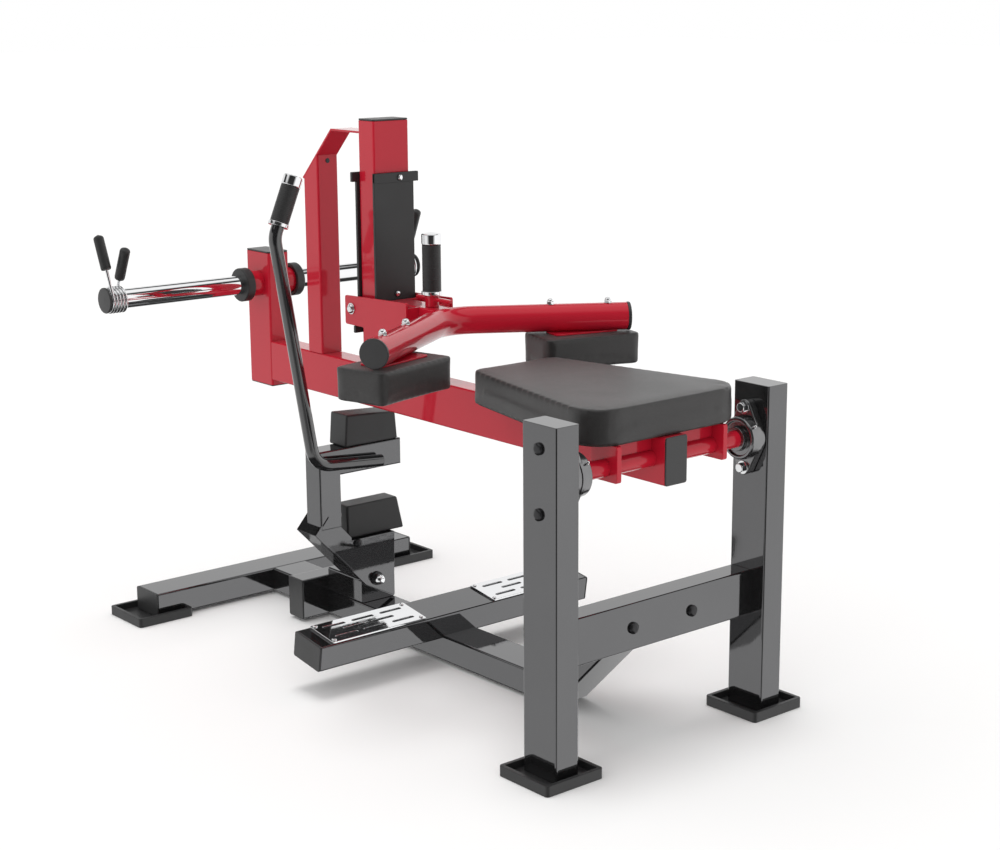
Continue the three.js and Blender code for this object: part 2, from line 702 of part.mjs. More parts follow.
function hornEndCap() {
  const start = horn.end + gap;
  const end = start + hornCap.thick;
  const plug = horn.radius - horn.wall - gap;
  return turned([
    [0, start - hornCap.plugLong], [plug, start - hornCap.plugLong], [plug, start],
    [hornCap.radius - hornCap.bevel, start], [hornCap.radius, start + hornCap.bevel],
    [hornCap.radius, end - hornCap.bevel], [hornCap.radius - hornCap.bevel, end], [0, end],
  ]);
}

// Wire of a spring collar: a straight tang, the coil about +X, and the other tang
const coilRadius = (horn.radius + gap + wire.radius) / Math.cos(Math.PI / wire.stepsPerTurn);

class CollarWire extends THREE.Curve {
  constructor() {
    super();
    this.first = -THREE.MathUtils.degToRad(outerTang.lean);
    this.turn = Math.PI * (2 * wire.wholeTurns + 1) + THREE.MathUtils.degToRad(innerTang.lean) - this.first;
    this.coilLong = Math.hypot(this.turn * coilRadius, (this.turn / (2 * Math.PI)) * wire.pitch);
    this.whole = outerTang.long + this.coilLong + innerTang.long;
  }

  coil(angle) {
    const along = ((angle - this.first) / (2 * Math.PI)) * wire.pitch;
    return vector(along, -coilRadius * Math.cos(angle), -coilRadius * Math.sin(angle));
  }

  heading(angle) {
    return vector(0, Math.sin(angle), -Math.cos(angle));
  }

  getPoint(share, target = new THREE.Vector3()) {
    const run = share * this.whole;
    const last = this.first + this.turn;
    const coilRun = THREE.MathUtils.clamp((run - outerTang.long) / this.coilLong, 0, 1);
    const angle = this.first + coilRun * this.turn;
    const before = Math.min(run - outerTang.long, 0);
    const after = Math.max(run - outerTang.long - this.coilLong, 0);
    target.copy(this.coil(angle));
    target.addScaledVector(this.heading(this.first), before);
    return target.addScaledVector(this.heading(last), after);
  }
}

// Sleeve over the end of a tang, closed at its tip
function tangSleeve(end, heading) {
  const [r, long] = [sleeve.radius, sleeve.long];
  const body = turned([
    [0, 0], [r, 0], [r, long - sleeve.tip], [r - sleeve.tip / 2, long - sleeve.tip / 4], [0, long],
  ], pipeSides);
  const turn = new THREE.Quaternion().setFromUnitVectors(vector(0, 0, 1), heading);
  const start = end.clone().addScaledVector(heading, wire.radius - long);
  return body.applyQuaternion(turn).translate(...start.toArray());
}

function springCollar() {
  const path = new CollarWire();
  const turns = path.turn / (2 * Math.PI);
  const steps = Math.round((turns * wire.stepsPerTurn * path.whole) / path.coilLong);
  const shape = new THREE.Shape(circle(wire.radius, wire.sides));
  const coil = new THREE.ExtrudeGeometry(shape, { steps, extrudePath: path });
  printLeastGap(path.getSpacedPoints(steps * 4), path.whole);
  const outerUp = path.heading(path.first).negate();
  const innerUp = path.heading(path.first + path.turn);
  return join(coil, tangSleeve(path.getPoint(0), outerUp), tangSleeve(path.getPoint(1), innerUp));
}

function printLeastGap(points, whole) {
  const stride = whole / (points.length - 1);
  const apart = Math.ceil((Math.PI * coilRadius) / stride);
  let least = Infinity;
  for (let i = 0; i < points.length; i += 1) {
    for (let j = i + apart; j < points.length; j += 1) {
      least = Math.min(least, points[i].distanceTo(points[j]));
    }
  }
  const between = (least - 2 * wire.radius).toFixed(2);
  console.log(`spring collar: least gap of the wire to itself ${between} mm`);
}

function bracePost() {
  const bottom = beamTop + gap;
  const slope = braceLow + frame.deep;
  const tall = slope - bottom;
  const braceY = (braceRear + braceFront) / 2;
  const tube = moved(boxTube(frame.deep, frame.deep, tall, 'z'), 0, braceY, bottom + tall / 2);
  const above = new THREE.Shape([
    new THREE.Vector2(braceFront + overrun, braceLow - overrun),
    new THREE.Vector2(braceFront + overrun, slope + overrun),
    new THREE.Vector2(braceRear - overrun, slope + overrun),
  ]);
  return cut(tube, prism(above, frame.wide, 'x'));
}

function bracePlateBody() {
  const bend = braceRear - bracePlate.reach;
  const low = braceLow + gap * Math.SQRT2;
  const high = low + braceFront - bend;
  const line = [[mainPostFront + gap, high], [bend, high], [braceFront, low]];
  return prism(strip(line, bracePlate.thick), frame.deep, 'x');
}

// Guide plate with ears on its right at the top and, where wanted, at the bottom up to a height
function guidePlate(lowEarTop) {
  const { bodyHalf, earHalf, bottom, top, earTall } = guide;
  const foot = [[earHalf, bottom], [earHalf, lowEarTop], [bodyHalf, lowEarTop]];
  const outline = [
    [-bodyHalf, bottom], ...(lowEarTop > bottom ? foot : [[bodyHalf, bottom]]),
    [bodyHalf, top - earTall], [earHalf, top - earTall], [earHalf, top], [-bodyHalf, top],
  ];
  return prism(rounded(outline, guide.round), guide.thick, 'y');
}

function lever() {
  const group = new THREE.Group();
  const shaftHalf = rearPost.inner - shaft.endGap;
  const seatZ = beamTop + gap;
  group.add(piece('lever_beam', leverBeam(), 'leverPaint'));
  const rearCap = tubeCap(frame.deep, frame.wide, 'y', -1);
  const capZ = beam.bottom + frame.wide / 2;
  group.add(piece('lever_beam_cap', rearCap, 'plastic', 0, beam.rear + cap.thick + gap, capZ));
  const axle = rod(shaft.radius, -shaftHalf, shaftHalf, 'x');
  group.add(piece('pivot_shaft', axle, 'leverPaint', 0, shaft.y, shaft.z));
  group.add(piece('seat_board', seatBoard(0), 'plywood', 0, 0, seatZ + board.thick / 2));
  group.add(piece('seat_pad', seatPadBody(), 'vinyl', 0, 0, seatZ));
  group.add(piece('weight_post', weightPostBody(), 'leverPaint'));
  const postCap = tubeCap(frame.deep, frame.wide, 'z', 1);
  group.add(piece('weight_post_cap', postCap, 'plastic', 0, hornY, weightPost.top - cap.thick - gap));
  for (const [side, sign] of sides) {
    group.add(piece(`pivot_gusset_${side}`, pivotGusset(sign), 'leverPaint'));
    group.add(hornGroup(side, sign));
  }
  group.add(postGroup());
  return group;
}

// Horn, stop ring, end cap and spring collar of one side, drawn along +X and turned for the left
function hornGroup(side, sign) {
  const group = new THREE.Group();
  const parts = [
    [`weight_horn_${side}`, weightHorn(), 'chrome'],
    [`horn_stop_ring_${side}`, hornStopRing(), 'rubber'],
    [`horn_end_cap_${side}`, hornEndCap(), 'plastic'],
  ];
  for (const [name, geometry, finish] of parts) {
    group.add(piece(name, geometry.rotateY((sign * Math.PI) / 2), finish));
  }
  const collarX = horn.end - wire.radius - gap;
  const collar = piece(`spring_collar_${side}`, springCollar(), 'chrome', sign * collarX);
  if (sign > 0) collar.rotation.z = Math.PI;
  group.add(collar);
  group.position.set(0, hornY, horn.z);
  return group;
}

function postGroup() {
  const group = new THREE.Group();
  const bottom = beamTop + gap;
  const top = mainPost.top - cap.thick - gap;
  const tall = top - bottom;
  const post = boxTube(frame.wide, frame.deep, tall, 'z');
  group.add(piece('main_post', post, 'leverPaint', 0, mainPostY, bottom + tall / 2));
  group.add(piece('main_post_cap', tubeCap(frame.wide, frame.deep, 'z', 1), 'plastic', 0, mainPostY, top));
  const off = frame.deep / 2 + gap + guide.thick / 2;
  const frontPlate = guidePlate(cheekNotch.z - gap).rotateZ(Math.PI);
  group.add(piece('guide_plate_rear', guidePlate(guide.bottom), 'plastic', 0, mainPostY - off));
  group.add(piece('guide_plate_front', frontPlate, 'plastic', 0, mainPostY + off));
  group.add(piece('brace_post', bracePost(), 'leverPaint'));
  group.add(piece('brace_plate', bracePlateBody(), 'leverPaint'));
  return group;
}

// Carriage pieces

// Side plate, notched below its front end for the lower ear of the guide plate
function cheekPlate() {
  const notchRear = mainPostFront - cheekNotch.front;
  const points = [
    [cheekFront, cheek.bottom + cheekShares.front * cheek.tall],
    [cheekRear, cheek.bottom + cheek.tall],
    [cheekRear, cheek.bottom + cheekShares.rear * cheek.tall],
    [notchRear, cheek.bottom],
    [notchRear, cheekNotch.z],
    [cheekFront, cheekNotch.z],
  ];
  const hole = moved(rod(crossBolt.radius + gap, -cheek.thick, cheek.thick, 'x'), 0, crossBoltY, crossBolt.z);
  return cut(prism(rounded(points, cheek.round), cheek.thick, 'x'), hole);
}

function vPath() {
  const rise = Math.tan(THREE.MathUtils.degToRad(vTube.sweep)) * vTube.endX;
  const points = [
    vector(-vTube.endX, vApexY - rise, vTube.z),
    vector(0, vApexY, vTube.z),
    vector(vTube.endX, vApexY - rise, vTube.z),
  ];
  return bentPath(points, vTube.bend);
}

function carriageNeck() {
  const tall = neck.top - neck.bottom;
  const frontWebY = mainPostRear - gap - guide.thick - neckWeb.frontGap - neckWeb.thick / 2;
  const rearWebY = cheekRear + neckWeb.rearSetIn + neckWeb.thick / 2;
  const start = cheekRear - neck.reach;
  const long = frontWebY - start;
  const tube = prism(rectangle(2 * neck.half, tall, neck.round), long, 'y');
  const bore = prism(rectangle(2 * (neck.half - frame.wall), tall - 2 * frame.wall), long + overrun, 'y');
  const middle = neck.bottom + tall / 2;
  const body = moved(tube, 0, start + long / 2, middle);
  const hollow = moved(bore, 0, start + long / 2, middle);
  const half = cheek.inner - gap;
  const webs = [rearWebY, frontWebY].map((y) => {
    return box(-half, half, y - neckWeb.thick / 2, y + neckWeb.thick / 2, neckWeb.bottom, neck.top);
  });
  const cope = pipe(vPath(), vTube.radius + gap, 0, vSteps);
  return cut(join(cut(body, hollow), ...webs), cope);
}

// Bolt across the cheeks that bears on the front guide plate, about +X
function carriageBolt() {
  const outside = cheek.inner + cheek.thick + gap;
  const end = outside + crossBolt.headTall;
  const { radius, headRadius } = crossBolt;
  const half = [[radius, outside], [headRadius, outside], [headRadius, end], [0, end]];
  const other = half.map(([r, z]) => [r, -z]).reverse();
  return turned([...other, ...half]).rotateY(Math.PI / 2);
}

function vTubeBody() {
  const tube = pipe(vPath(), vTube.radius, vTube.wall, vSteps);
  const plates = sides.map(([, sign]) => {
    const plate = prism(rectangle(padPlate.long, padPlate.wide, padPlate.round), padPlate.thick, 'z');
    plate.rotateZ(THREE.MathUtils.degToRad(-sign * thighPad.sweep));
    return moved(plate, sign * thighPad.x, thighPadY, padPlateTop - padPlate.thick / 2);
  });
  const bore = pipe(vPath(), vTube.radius - vTube.wall, 0, vSteps);
  return cut(join(tube, ...plates), bore);
}

function vTubeCap() {
  const { radius, thick, round } = vTubeEnd;
  const plug = (vTube.radius - vTube.wall) * Math.cos(Math.PI / pipeSides) - gap;
  return turned([
    [0, -cap.plugLong], [plug, -cap.plugLong], [plug, gap], [radius, gap],
    [radius, thick - round], [radius - round, thick], [0, thick],
  ]);
}

function thighPadBody() {
  const [x, y] = [thighPad.long / 2, thighPad.wide / 2];
  const { round, tall, edge, crown } = thighPad;
  const corners = [{ x: -x, y: -y, round }, { x, y: -y, round }, { x, y, round }, { x: -x, y, round }];
  return cushion(corners, tall, edge, crown);
}

function handGripBody() {
  const { stubRadius, stubTall } = handGrip;
  const ringTop = stubTall + handGrip.ringTall;
  const rubberTop = ringTop + gripRubber.long;
  const capTop = rubberTop + gripCap.tall;
  const grip = turned([
    [0, 0], [stubRadius, 0], [stubRadius, stubTall], [handGrip.ringRadius, stubTall],
    [handGrip.ringRadius, ringTop], [gripRubber.radius, ringTop], [gripRubber.radius, rubberTop],
    [gripCap.radius, rubberTop], [gripCap.radius, capTop - gripCap.dome],
    [gripCap.radius - gripCap.dome / 2, capTop - gripCap.dome / 4], [0, capTop],
  ]);
  const half = release.wide / 2 + gap;
  const low = release.z - release.slotTall / 2 - neck.top - gap;
  const room = box(-half, half, -handGrip.ringRadius, handGrip.ringRadius, low, low + release.slotTall);
  return cut(grip, room);
}

function carriage() {
  const group = new THREE.Group();
  const angle = THREE.MathUtils.degToRad(vTube.sweep);
  group.add(piece('carriage_neck', carriageNeck(), 'leverPaint'));
  group.add(piece('carriage_bolt', carriageBolt(), 'chrome', 0, crossBoltY, crossBolt.z));
  group.add(piece('v_tube', vTubeBody(), 'leverPaint'));
  for (const [side, sign] of sides) {
    const cheekX = sign * (cheek.inner + cheek.thick / 2);
    group.add(piece(`carriage_cheek_${side}`, cheekPlate(), 'leverPaint', cheekX));
    const end = vTubeCap().rotateY((sign * Math.PI) / 2).rotateZ(-sign * angle);
    const endY = vApexY - Math.tan(angle) * vTube.endX;
    group.add(piece(`v_tube_cap_${side}`, end, 'plastic', sign * vTube.endX, endY, vTube.z));
    const padZ = padPlateTop - padPlate.thick - gap;
    const pad = piece(`thigh_pad_${side}`, thighPadBody(), 'vinyl', sign * thighPad.x, thighPadY, padZ);
    pad.rotation.set(Math.PI, 0, THREE.MathUtils.degToRad(-sign * thighPad.sweep), 'ZYX');
    group.add(pad);
  }
  group.add(piece('hand_grip', handGripBody(), 'rubber', 0, handGripY, neck.top + gap));
  const { rearReach, frontReach, wide, thick, round, bevel } = release;
  const bar = prism(rectangle(wide, thick, round), rearReach + frontReach, 'y', bevel);
  const barY = handGripY + (frontReach - rearReach) / 2;
  group.add(piece('release_lever', bar, 'leverPaint', 0, barY, release.z));
  return group;
}

// Catch pieces

function catchStand() {
  const points = catchPlateShares.map(([x, z]) => {
    return [catchPlate.left + x * catchPlate.wide, catchPlate.bottom + z * catchPlate.tall];
  });
  const outline = new THREE.Shape(points.map((p) => new THREE.Vector2(...p)));
  const plate = moved(prism(outline, catchPlate.thick, 'y'), 0, catchRear + catchPlate.thick / 2, 0);
  const [shoulder, corner, toe, , ledgeRight, ledgeLeft] = points;
  const flangeEnd = corner.map((value, i) => value + (toe[i] - value) * flangeEndShare);
  const edge = prism(strip([shoulder, corner, flangeEnd], catchPlate.flange), catchPlate.flangeDeep, 'y');
  const flange = moved(edge, 0, catchRear + catchPlate.flangeDeep / 2, 0);
  const ledge = box(
    ledgeLeft[0], ledgeRight[0], catchRear, catchRear + catchLedge.deep,
    ledgeRight[1] - catchPlate.flange, ledgeRight[1],
  );
  const postY = catchRear + standPost.deep / 2;
  const post = moved(prism(standOutline(0, 0), standPost.deep, 'y', standPost.round / 2), 0, postY, 0);
  const boreDeep = standPost.deep - 2 * frame.wall;
  const bore = moved(prism(standOutline(frame.wall, overrun), boreDeep, 'y'), 0, postY, 0);
  const hole = rod(pivot.boltRadius + gap, catchRear - overrun, catchRear + overrun, 'y');
  return cut(join(cut(post, bore), plate, flange, ledge), moved(hole, pivot.x, 0, pivot.z));
}

function standOutline(inset, reach) {
  const left = standPost.left + inset;
  const right = standArm.right - inset;
  const inner = standPost.left + standPost.wide - inset;
  const top = standPost.top - inset;
  const under = standPost.top - standArm.tall + inset;
  const bottom = standPost.bottom - reach;
  const points = [[left, bottom], [inner, bottom], [inner, under], [right, under], [right, top], [left, top]];
  return new THREE.Shape(points.map((p) => new THREE.Vector2(...p)));
}

function upperBumperBody() {
  const { left, right, topLeft, topRight, topInset, deep, bevel } = upperBumper;
  const bottom = standPost.top + gap;
  const outline = [[left, bottom], [right, bottom], [right - topInset, topRight], [left + topInset, topLeft]];
  return prism(new THREE.Shape(outline.map((p) => new THREE.Vector2(...p))), deep, 'y', bevel);
}

function lowerBumperBody() {
  const { left, right, top, topRight, deep, bevel } = lowerBumper;
  const bottom = catchPlate.bottom + catchPlateShares[4][1] * catchPlate.tall + gap;
  const outline = [[left, bottom], [right, bottom], [topRight, top], [left, top]];
  return prism(new THREE.Shape(outline.map((p) => new THREE.Vector2(...p))), deep, 'y', bevel);
}

function handlePoints() {
  return [
    vector(handle.footX, 0, handle.footZ),
    vector(handle.elbowX, 0, handle.elbowZ),
    vector(handleTop.wristX, 0, handleTop.wristZ),
    vector(handleTop.tipX, 0, handleTop.tipZ),
  ];
}

// Grip with a blind bore for the end of the handle tube
function catchGripBody(long) {
  const bore = handle.radius + gap;
  const { ringTall, start, capTall } = handleGrip;
  const inside = long - start;
  const top = inside + capTall;
  return turned([
    [0, inside + gap], [bore, inside + gap], [bore, 0], [handGrip.ringRadius, 0],
    [handGrip.ringRadius, ringTall], [gripRubber.radius, ringTall], [gripRubber.radius, inside],
    [gripCap.radius, inside], [gripCap.radius, top - gripCap.dome / 2],
    [gripCap.radius - gripCap.dome / 2, top], [0, top],
  ]);
}

function pivotBolt() {
  const washer = -(pivot.washerTall + gap);
  const long = block.rear + block.lugThick - gap - catchRear;
  return turned([
    [0, washer - pivot.headTall], [pivot.headRadius, washer - pivot.headTall], [pivot.headRadius, washer],
    [pivot.washerRadius, washer], [pivot.washerRadius, -gap], [pivot.boltRadius, -gap],
    [pivot.boltRadius, long], [0, long],
  ]).rotateX(-Math.PI / 2);
}

function catchGroup() {
  const group = new THREE.Group();
  group.add(piece('catch_stand', catchStand(), 'framePaint'));
  const upperY = catchRear + upperBumper.deep / 2;
  group.add(piece('upper_bumper', upperBumperBody(), 'rubber', 0, upperY));
  const lowerY = lowerBumper.rear + lowerBumper.deep / 2 + catchPlate.thick;
  group.add(piece('lower_bumper', lowerBumperBody(), 'rubber', 0, lowerY));
  const points = handlePoints();
  const tube = pipe(bentPath(points, handleTop.bend), handle.radius, handle.wall, handleTop.steps);
  const handleY = catchRear - gap - handle.radius;
  group.add(piece('catch_handle', tube, 'blackPaint', 0, handleY));
  const [, , wrist, tip] = points;
  const along = tip.clone().sub(wrist);
  const grip = piece('catch_grip', catchGripBody(along.length()), 'rubber');
  grip.position.copy(wrist).addScaledVector(along.clone().normalize(), handleGrip.start);
  grip.position.y = handleY;
  grip.rotation.y = Math.atan2(along.x, along.z);
  group.add(grip);
  group.add(piece('catch_pivot_bolt', pivotBolt(), 'chrome', pivot.x, catchRear, pivot.z));
  return group;
}

// The machine stands on z = 0 with the middle of its footprint at the origin
const rearmost = postY - foot.side / 2;
const foremost = floorTubeY + foot.side / 2;
const machine = new THREE.Group();
machine.add(base(), lever(), carriage(), catchGroup());
machine.position.y = -(rearmost + foremost) / 2;

export default machine;
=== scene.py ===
# %% [markdown]
# # Dressing a seated calf raise machine
# The machine is a plate-loaded lever on a welded frame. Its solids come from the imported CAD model
# and never move. This lesson rebuilds what the eye meets first, as smooth surfaces worked out with
# numpy, and paints everything with procedural finishes.

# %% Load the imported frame
import json
import math

import bpy
import numpy as np
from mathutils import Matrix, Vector


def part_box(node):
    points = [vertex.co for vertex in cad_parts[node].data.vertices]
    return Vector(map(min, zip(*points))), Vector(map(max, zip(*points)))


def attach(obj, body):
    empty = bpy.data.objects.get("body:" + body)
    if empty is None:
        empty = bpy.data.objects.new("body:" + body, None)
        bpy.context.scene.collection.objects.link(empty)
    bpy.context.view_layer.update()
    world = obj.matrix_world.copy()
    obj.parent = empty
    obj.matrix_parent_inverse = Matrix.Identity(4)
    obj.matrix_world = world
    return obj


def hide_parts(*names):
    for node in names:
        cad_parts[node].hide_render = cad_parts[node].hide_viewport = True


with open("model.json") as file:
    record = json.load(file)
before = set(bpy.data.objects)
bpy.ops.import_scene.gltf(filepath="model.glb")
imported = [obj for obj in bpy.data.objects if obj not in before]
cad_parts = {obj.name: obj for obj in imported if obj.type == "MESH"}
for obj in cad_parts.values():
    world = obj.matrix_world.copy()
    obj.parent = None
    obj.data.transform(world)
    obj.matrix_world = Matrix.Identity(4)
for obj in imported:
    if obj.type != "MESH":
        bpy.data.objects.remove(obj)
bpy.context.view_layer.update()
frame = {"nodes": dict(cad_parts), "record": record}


def added(name, data):
    """A new object in the scene that shows this data."""
    made = bpy.data.objects.new(name, data)
    bpy.context.scene.collection.objects.link(made)
    return made


# %% [markdown]
# ## The photographer's place
# The photograph looks down on the rear left corner of the machine. Its place was worked out from
# the corners of the posts and tubes, whose sizes the drawing gives. A lens shift does the framing,
# so that upright posts stay upright.

# %% Camera at the photograph's place
camera_place = Vector((-2.6390, -3.3955, 1.5327))
camera_heading = Vector((0.6425, 0.7321, -0.2261))
focal_in_widths = 1.9166
sensor_width = 36.0
lens_shift = (-0.0552, 0.0071)


def place_camera():
    """The focal length is counted in picture widths, and the picture is as wide as the sensor."""
    data = bpy.data.cameras.new("studio_camera")
    data.sensor_width = sensor_width
    data.lens = focal_in_widths * sensor_width
    data.shift_x, data.shift_y = lens_shift
    camera = added("studio_camera", data)
    camera.location = camera_place
    camera.rotation_euler = camera_heading.to_track_quat("-Z", "Y").to_euler()
    bpy.context.scene.camera = camera
    bpy.context.scene.view_settings.view_transform = "Standard"
    return camera


camera = place_camera()
print("lens", round(camera.data.lens, 1), "mm")

# %% [markdown]
# ## Shader sums as plain arithmetic
# A material is a small calculation on a point of the surface. One class wraps a socket, so that
# `roughness = 0.1 + smudge * 0.2` adds the Math nodes by itself. Every other node comes from its
# `node` method, which sets the node's choices before its sockets.

# %% A socket that can be added and multiplied


class Shade:
    """A shader socket, or a whole node tree while socket is None."""

    def __init__(self, tree, socket=None):
        self.tree = tree
        self.socket = socket

    def node(self, kind, settings=None, sockets=None, output=0):
        """Adds a shader node and returns one of its outputs."""
        made = self.tree.nodes.new("ShaderNode" + kind)
        for key, value in (settings or {}).items():
            if key == "stops":
                self.fill_ramp(made.color_ramp, value)
            else:
                setattr(made, key, value)
        for key, value in (sockets or {}).items():
            if isinstance(value, Shade):
                self.tree.links.new(value.socket, made.inputs[key])
            else:
                made.inputs[key].default_value = value
        return Shade(self.tree, made.outputs[output] if len(made.outputs) else None)

    @staticmethod
    def fill_ramp(ramp, stops):
        """stops is a list of (place, grey level) pairs."""
        for element, (place, level) in zip(ramp.elements, stops):
            element.position = place
            element.color = (level, level, level, 1)
        for place, level in stops[2:]:
            ramp.elements.new(place).color = (level, level, level, 1)

    def math(self, operation, *others):
        """A Math node whose first value is this socket."""
        return self.node("Math", {"operation": operation}, dict(enumerate((self, *others))))

    def dot(self, heading):
        sockets = {0: self, 1: tuple(heading)}
        return self.node("VectorMath", {"operation": "DOT_PRODUCT"}, sockets, "Value")

    def part(self, letter):
        return self.node("SeparateXYZ", None, {0: self}, letter)

    def __add__(self, other):
        return self.math("ADD", other)

    def __sub__(self, other):
        return self.math("SUBTRACT", other)

    def __rsub__(self, other):
        return self.node("Math", {"operation": "SUBTRACT"}, {0: other, 1: self})

    def __mul__(self, other):
        return self.math("MULTIPLY", other)

    __radd__ = __add__


def grey(level):
    return (level, level, level, 1.0)


def tinted(colour, factor=1.0):
    return tuple(min(1.0, part * factor) for part in colour) + (1.0,)


def mixed(factor, first, second):
    """Colour between two colours: first where factor is 0, second where it is 1."""
    settings = {"data_type": "RGBA"}
    return factor.node("Mix", settings, {0: factor, 6: first, 7: second}, 2)


def noise(place, scale, detail=2.0, rough=0.5):
    """Cloudy value about 0.5; scale is in cells to the metre."""
    sockets = {"Vector": place, "Scale": scale, "Detail": detail, "Roughness": rough}
    return place.node("TexNoise", {"noise_dimensions": "3D"}, sockets, "Fac")


def cells(place, scale, feature="F1"):
    """Distance inside a pattern of irregular cells, scale cells to the metre."""
    sockets = {"Vector": place, "Scale": scale}
    return place.node("TexVoronoi", {"feature": feature}, sockets, "Distance")


def bumped(height, distance):
    """Normal of a surface raised by height times distance, in metres."""
    return height.node("Bump", None, {"Height": height, "Distance": distance, "Strength": 1.0})


def ramp(value, *stops):
    return value.node("ValToRGB", {"stops": stops}, {"Fac": value}, "Color")


def bare(tree_owner):
    """Empties the node tree of a new material or world."""
    tree_owner.use_nodes = True
    tree_owner.node_tree.nodes.clear()
    return Shade(tree_owner.node_tree)


print("shader tools ready")

# %% [markdown]
# ## Floor, world and lamps
# The floor and the background are white paper. Gloss paint only looks like gloss paint when it
# mirrors something, so mirror rays see a white studio with a dark ring under its ceiling, a dark
# camera side and a dark pit below: that draws the thin dark lines along the rounded edges of the
# tubes. One wide, high lamp lays the soft shadow on the floor.

# %% Studio
floor_reach = 40.0
dome_light = 0.80
dome_lean = 0.38
mirror_dark = 0.03
mirror_lean = 0.13
seat_heading = (0.66, -0.75, 0.0)
dark_ring = (0.48, 0.0), (0.54, 1.0), (0.66, 1.0), (0.72, 0.0)
dark_side = (0.62, 0.0), (0.86, 1.0)
dark_pit = (0.40, 0.0), (0.50, 1.0)
ring_lean, pit_lean = 0.25, 0.4
paper_white = (0.93, 0.925, 0.92, 1)


def studio_floor():
    """A flat sheet of paper; mirror rays pass it by, and see the white studio instead."""
    mesh = bpy.data.meshes.new("paper_floor")
    reach = floor_reach
    corners = [(-reach, -reach, 0), (reach, -reach, 0), (reach, reach, 0), (-reach, reach, 0)]
    mesh.from_pydata(corners, [], [(0, 1, 2, 3)])
    floor = added("paper_floor", mesh)
    material = bpy.data.materials.new("paper")
    shade = bare(material)
    paper = shade.node("BsdfDiffuse", None, {"Color": paper_white})
    shade.node("OutputMaterial", None, {"Surface": paper})
    mesh.materials.append(material)
    floor.visible_glossy = False


def studio_world():
    """White for the eye, a soft dome for matt surfaces, and for mirrors a studio with dark sides.

    With d the ray's direction and c the heading to the camera, the mirror world is dark in a ring
    where d.z - ring_lean * d.x is about 0.6, where d.c is above 0.75, and steeply below, where
    d.z + pit_lean * |d.x| is under -0.45. Elsewhere it is white, a little brighter behind the seat.
    The dome's light is dome_light - dome_lean * d.x.
    """
    world = bpy.data.worlds.new("studio")
    shade = bare(world)
    bpy.context.scene.world = world
    ray = shade.node("TexCoord", output="Generated")
    upward, sideways = ray.part("Z"), ray.part("X")
    facing, rearward = ray.dot((-camera_heading).normalized()), ray.dot(seat_heading)
    ring = ramp(upward - sideways * ring_lean, *dark_ring)
    side = ramp(facing, *dark_side)
    pit = ramp((0.0 - upward) - sideways.math("ABSOLUTE") * pit_lean, *dark_pit)
    dark = ring.math("MAXIMUM", side).math("MAXIMUM", pit)
    mirror = (1.0 - dark * (1.0 - mirror_dark)) * (1.0 + rearward * mirror_lean)
    glossy = shade.node("LightPath", output="Is Glossy Ray")
    seen = shade.node("LightPath", output="Is Camera Ray")
    dome = dome_light - sideways * dome_lean
    level = seen.math("MAXIMUM", glossy.math("MULTIPLY_ADD", mirror - dome, dome))
    glow = shade.node("Background", None, {"Color": grey(1.0), "Strength": level})
    shade.node("OutputWorld", None, {"Surface": glow})


def soft_sun(name, heading, spread, power):
    """An even lamp as wide as spread degrees in the sky, shining along heading."""
    data = bpy.data.lights.new(name, "SUN")
    data.angle = math.radians(spread)
    data.energy = power
    lamp = added(name, data)
    lamp.rotation_euler = Vector(heading).to_track_quat("-Z", "Y").to_euler()
    lamp.visible_glossy = False


studio_floor()
studio_world()
soft_sun("ceiling_lamp", (-0.06, -0.10, -1.0), 24.0, 1.05)
print("studio ready")

# %% [markdown]
# ## Finishes
# Each finish has a base colour, a gloss, and the marks that its making leaves. Gloss enamel keeps a
# faint orange peel and hand smudges, moulded rubber a fine pebble, vinyl its embossed leather
# cells, chrome the lines of its polishing. Sizes are in metres of the real object.

# %% One function that builds every finish


def new_finish(name, recipe, **even):
    """recipe(place) returns the sockets that vary over the surface; even are the same all over."""
    material = bpy.data.materials.new(name)
    shade = bare(material)
    place = shade.node("TexCoord", output="Object")
    sockets = {key.replace("_", " "): value for key, value in even.items()}
    sockets.update(recipe(place))
    surface = shade.node("BsdfPrincipled", None, sockets)
    shade.node("OutputMaterial", None, {"Surface": surface})
    return material


# %% [markdown]
# ### Gloss enamel
# The frame is graphite grey, the lever signal red. Both mirror their neighbours. The grey is made
# as a metal with a dark tint, because the real one has metal flakes in it; the red is a plain
# colour under a clear coat. Enamel pools very slightly, which the orange peel gives.

# %% Enamel recipes


def enamel(colour, spread, gloss, smudge, peel=0.00002):
    """Colour varies by spread at hand scale, and roughness from gloss by smudge."""

    def recipe(place):
        cloud = noise(place, 5.0, 3.0)
        marks = noise(place, 26.0, 4.0, 0.6)
        skin = noise(place, 260.0, 1.0)
        return {
            "Base Color": mixed(cloud, tinted(colour, 1 - spread), tinted(colour, 1 + spread)),
            "Roughness": gloss + ramp(marks, (0.45, 0.0), (0.75, 1.0)) * smudge,
            "Normal": bumped(skin, peel),
        }

    return recipe


graphite = new_finish(
    "graphite_enamel", enamel((0.150, 0.150, 0.153), 0.06, 0.045, 0.05), Metallic=0.93,
)
red_enamel = new_finish(
    "signal_red_enamel", enamel((0.49, 0.0095, 0.026), 0.04, 0.30, 0.06),
    Coat_Weight=1.0, Coat_Roughness=0.035, Coat_IOR=1.36, Specular_IOR_Level=0.1,
)
black_enamel = new_finish(
    "black_enamel", enamel((0.012, 0.012, 0.013), 0.2, 0.10, 0.05),
    Coat_Weight=1.0, Coat_Roughness=0.03, Coat_IOR=1.7,
)
print("enamels", graphite.name, red_enamel.name, black_enamel.name)

# %% [markdown]
# ### Rubber and moulded plastic
# Both are dark and carry the texture of their mould. Rubber has a coarser pebble and a duller
# shine. Dust settles in patches and lifts the colour a little.

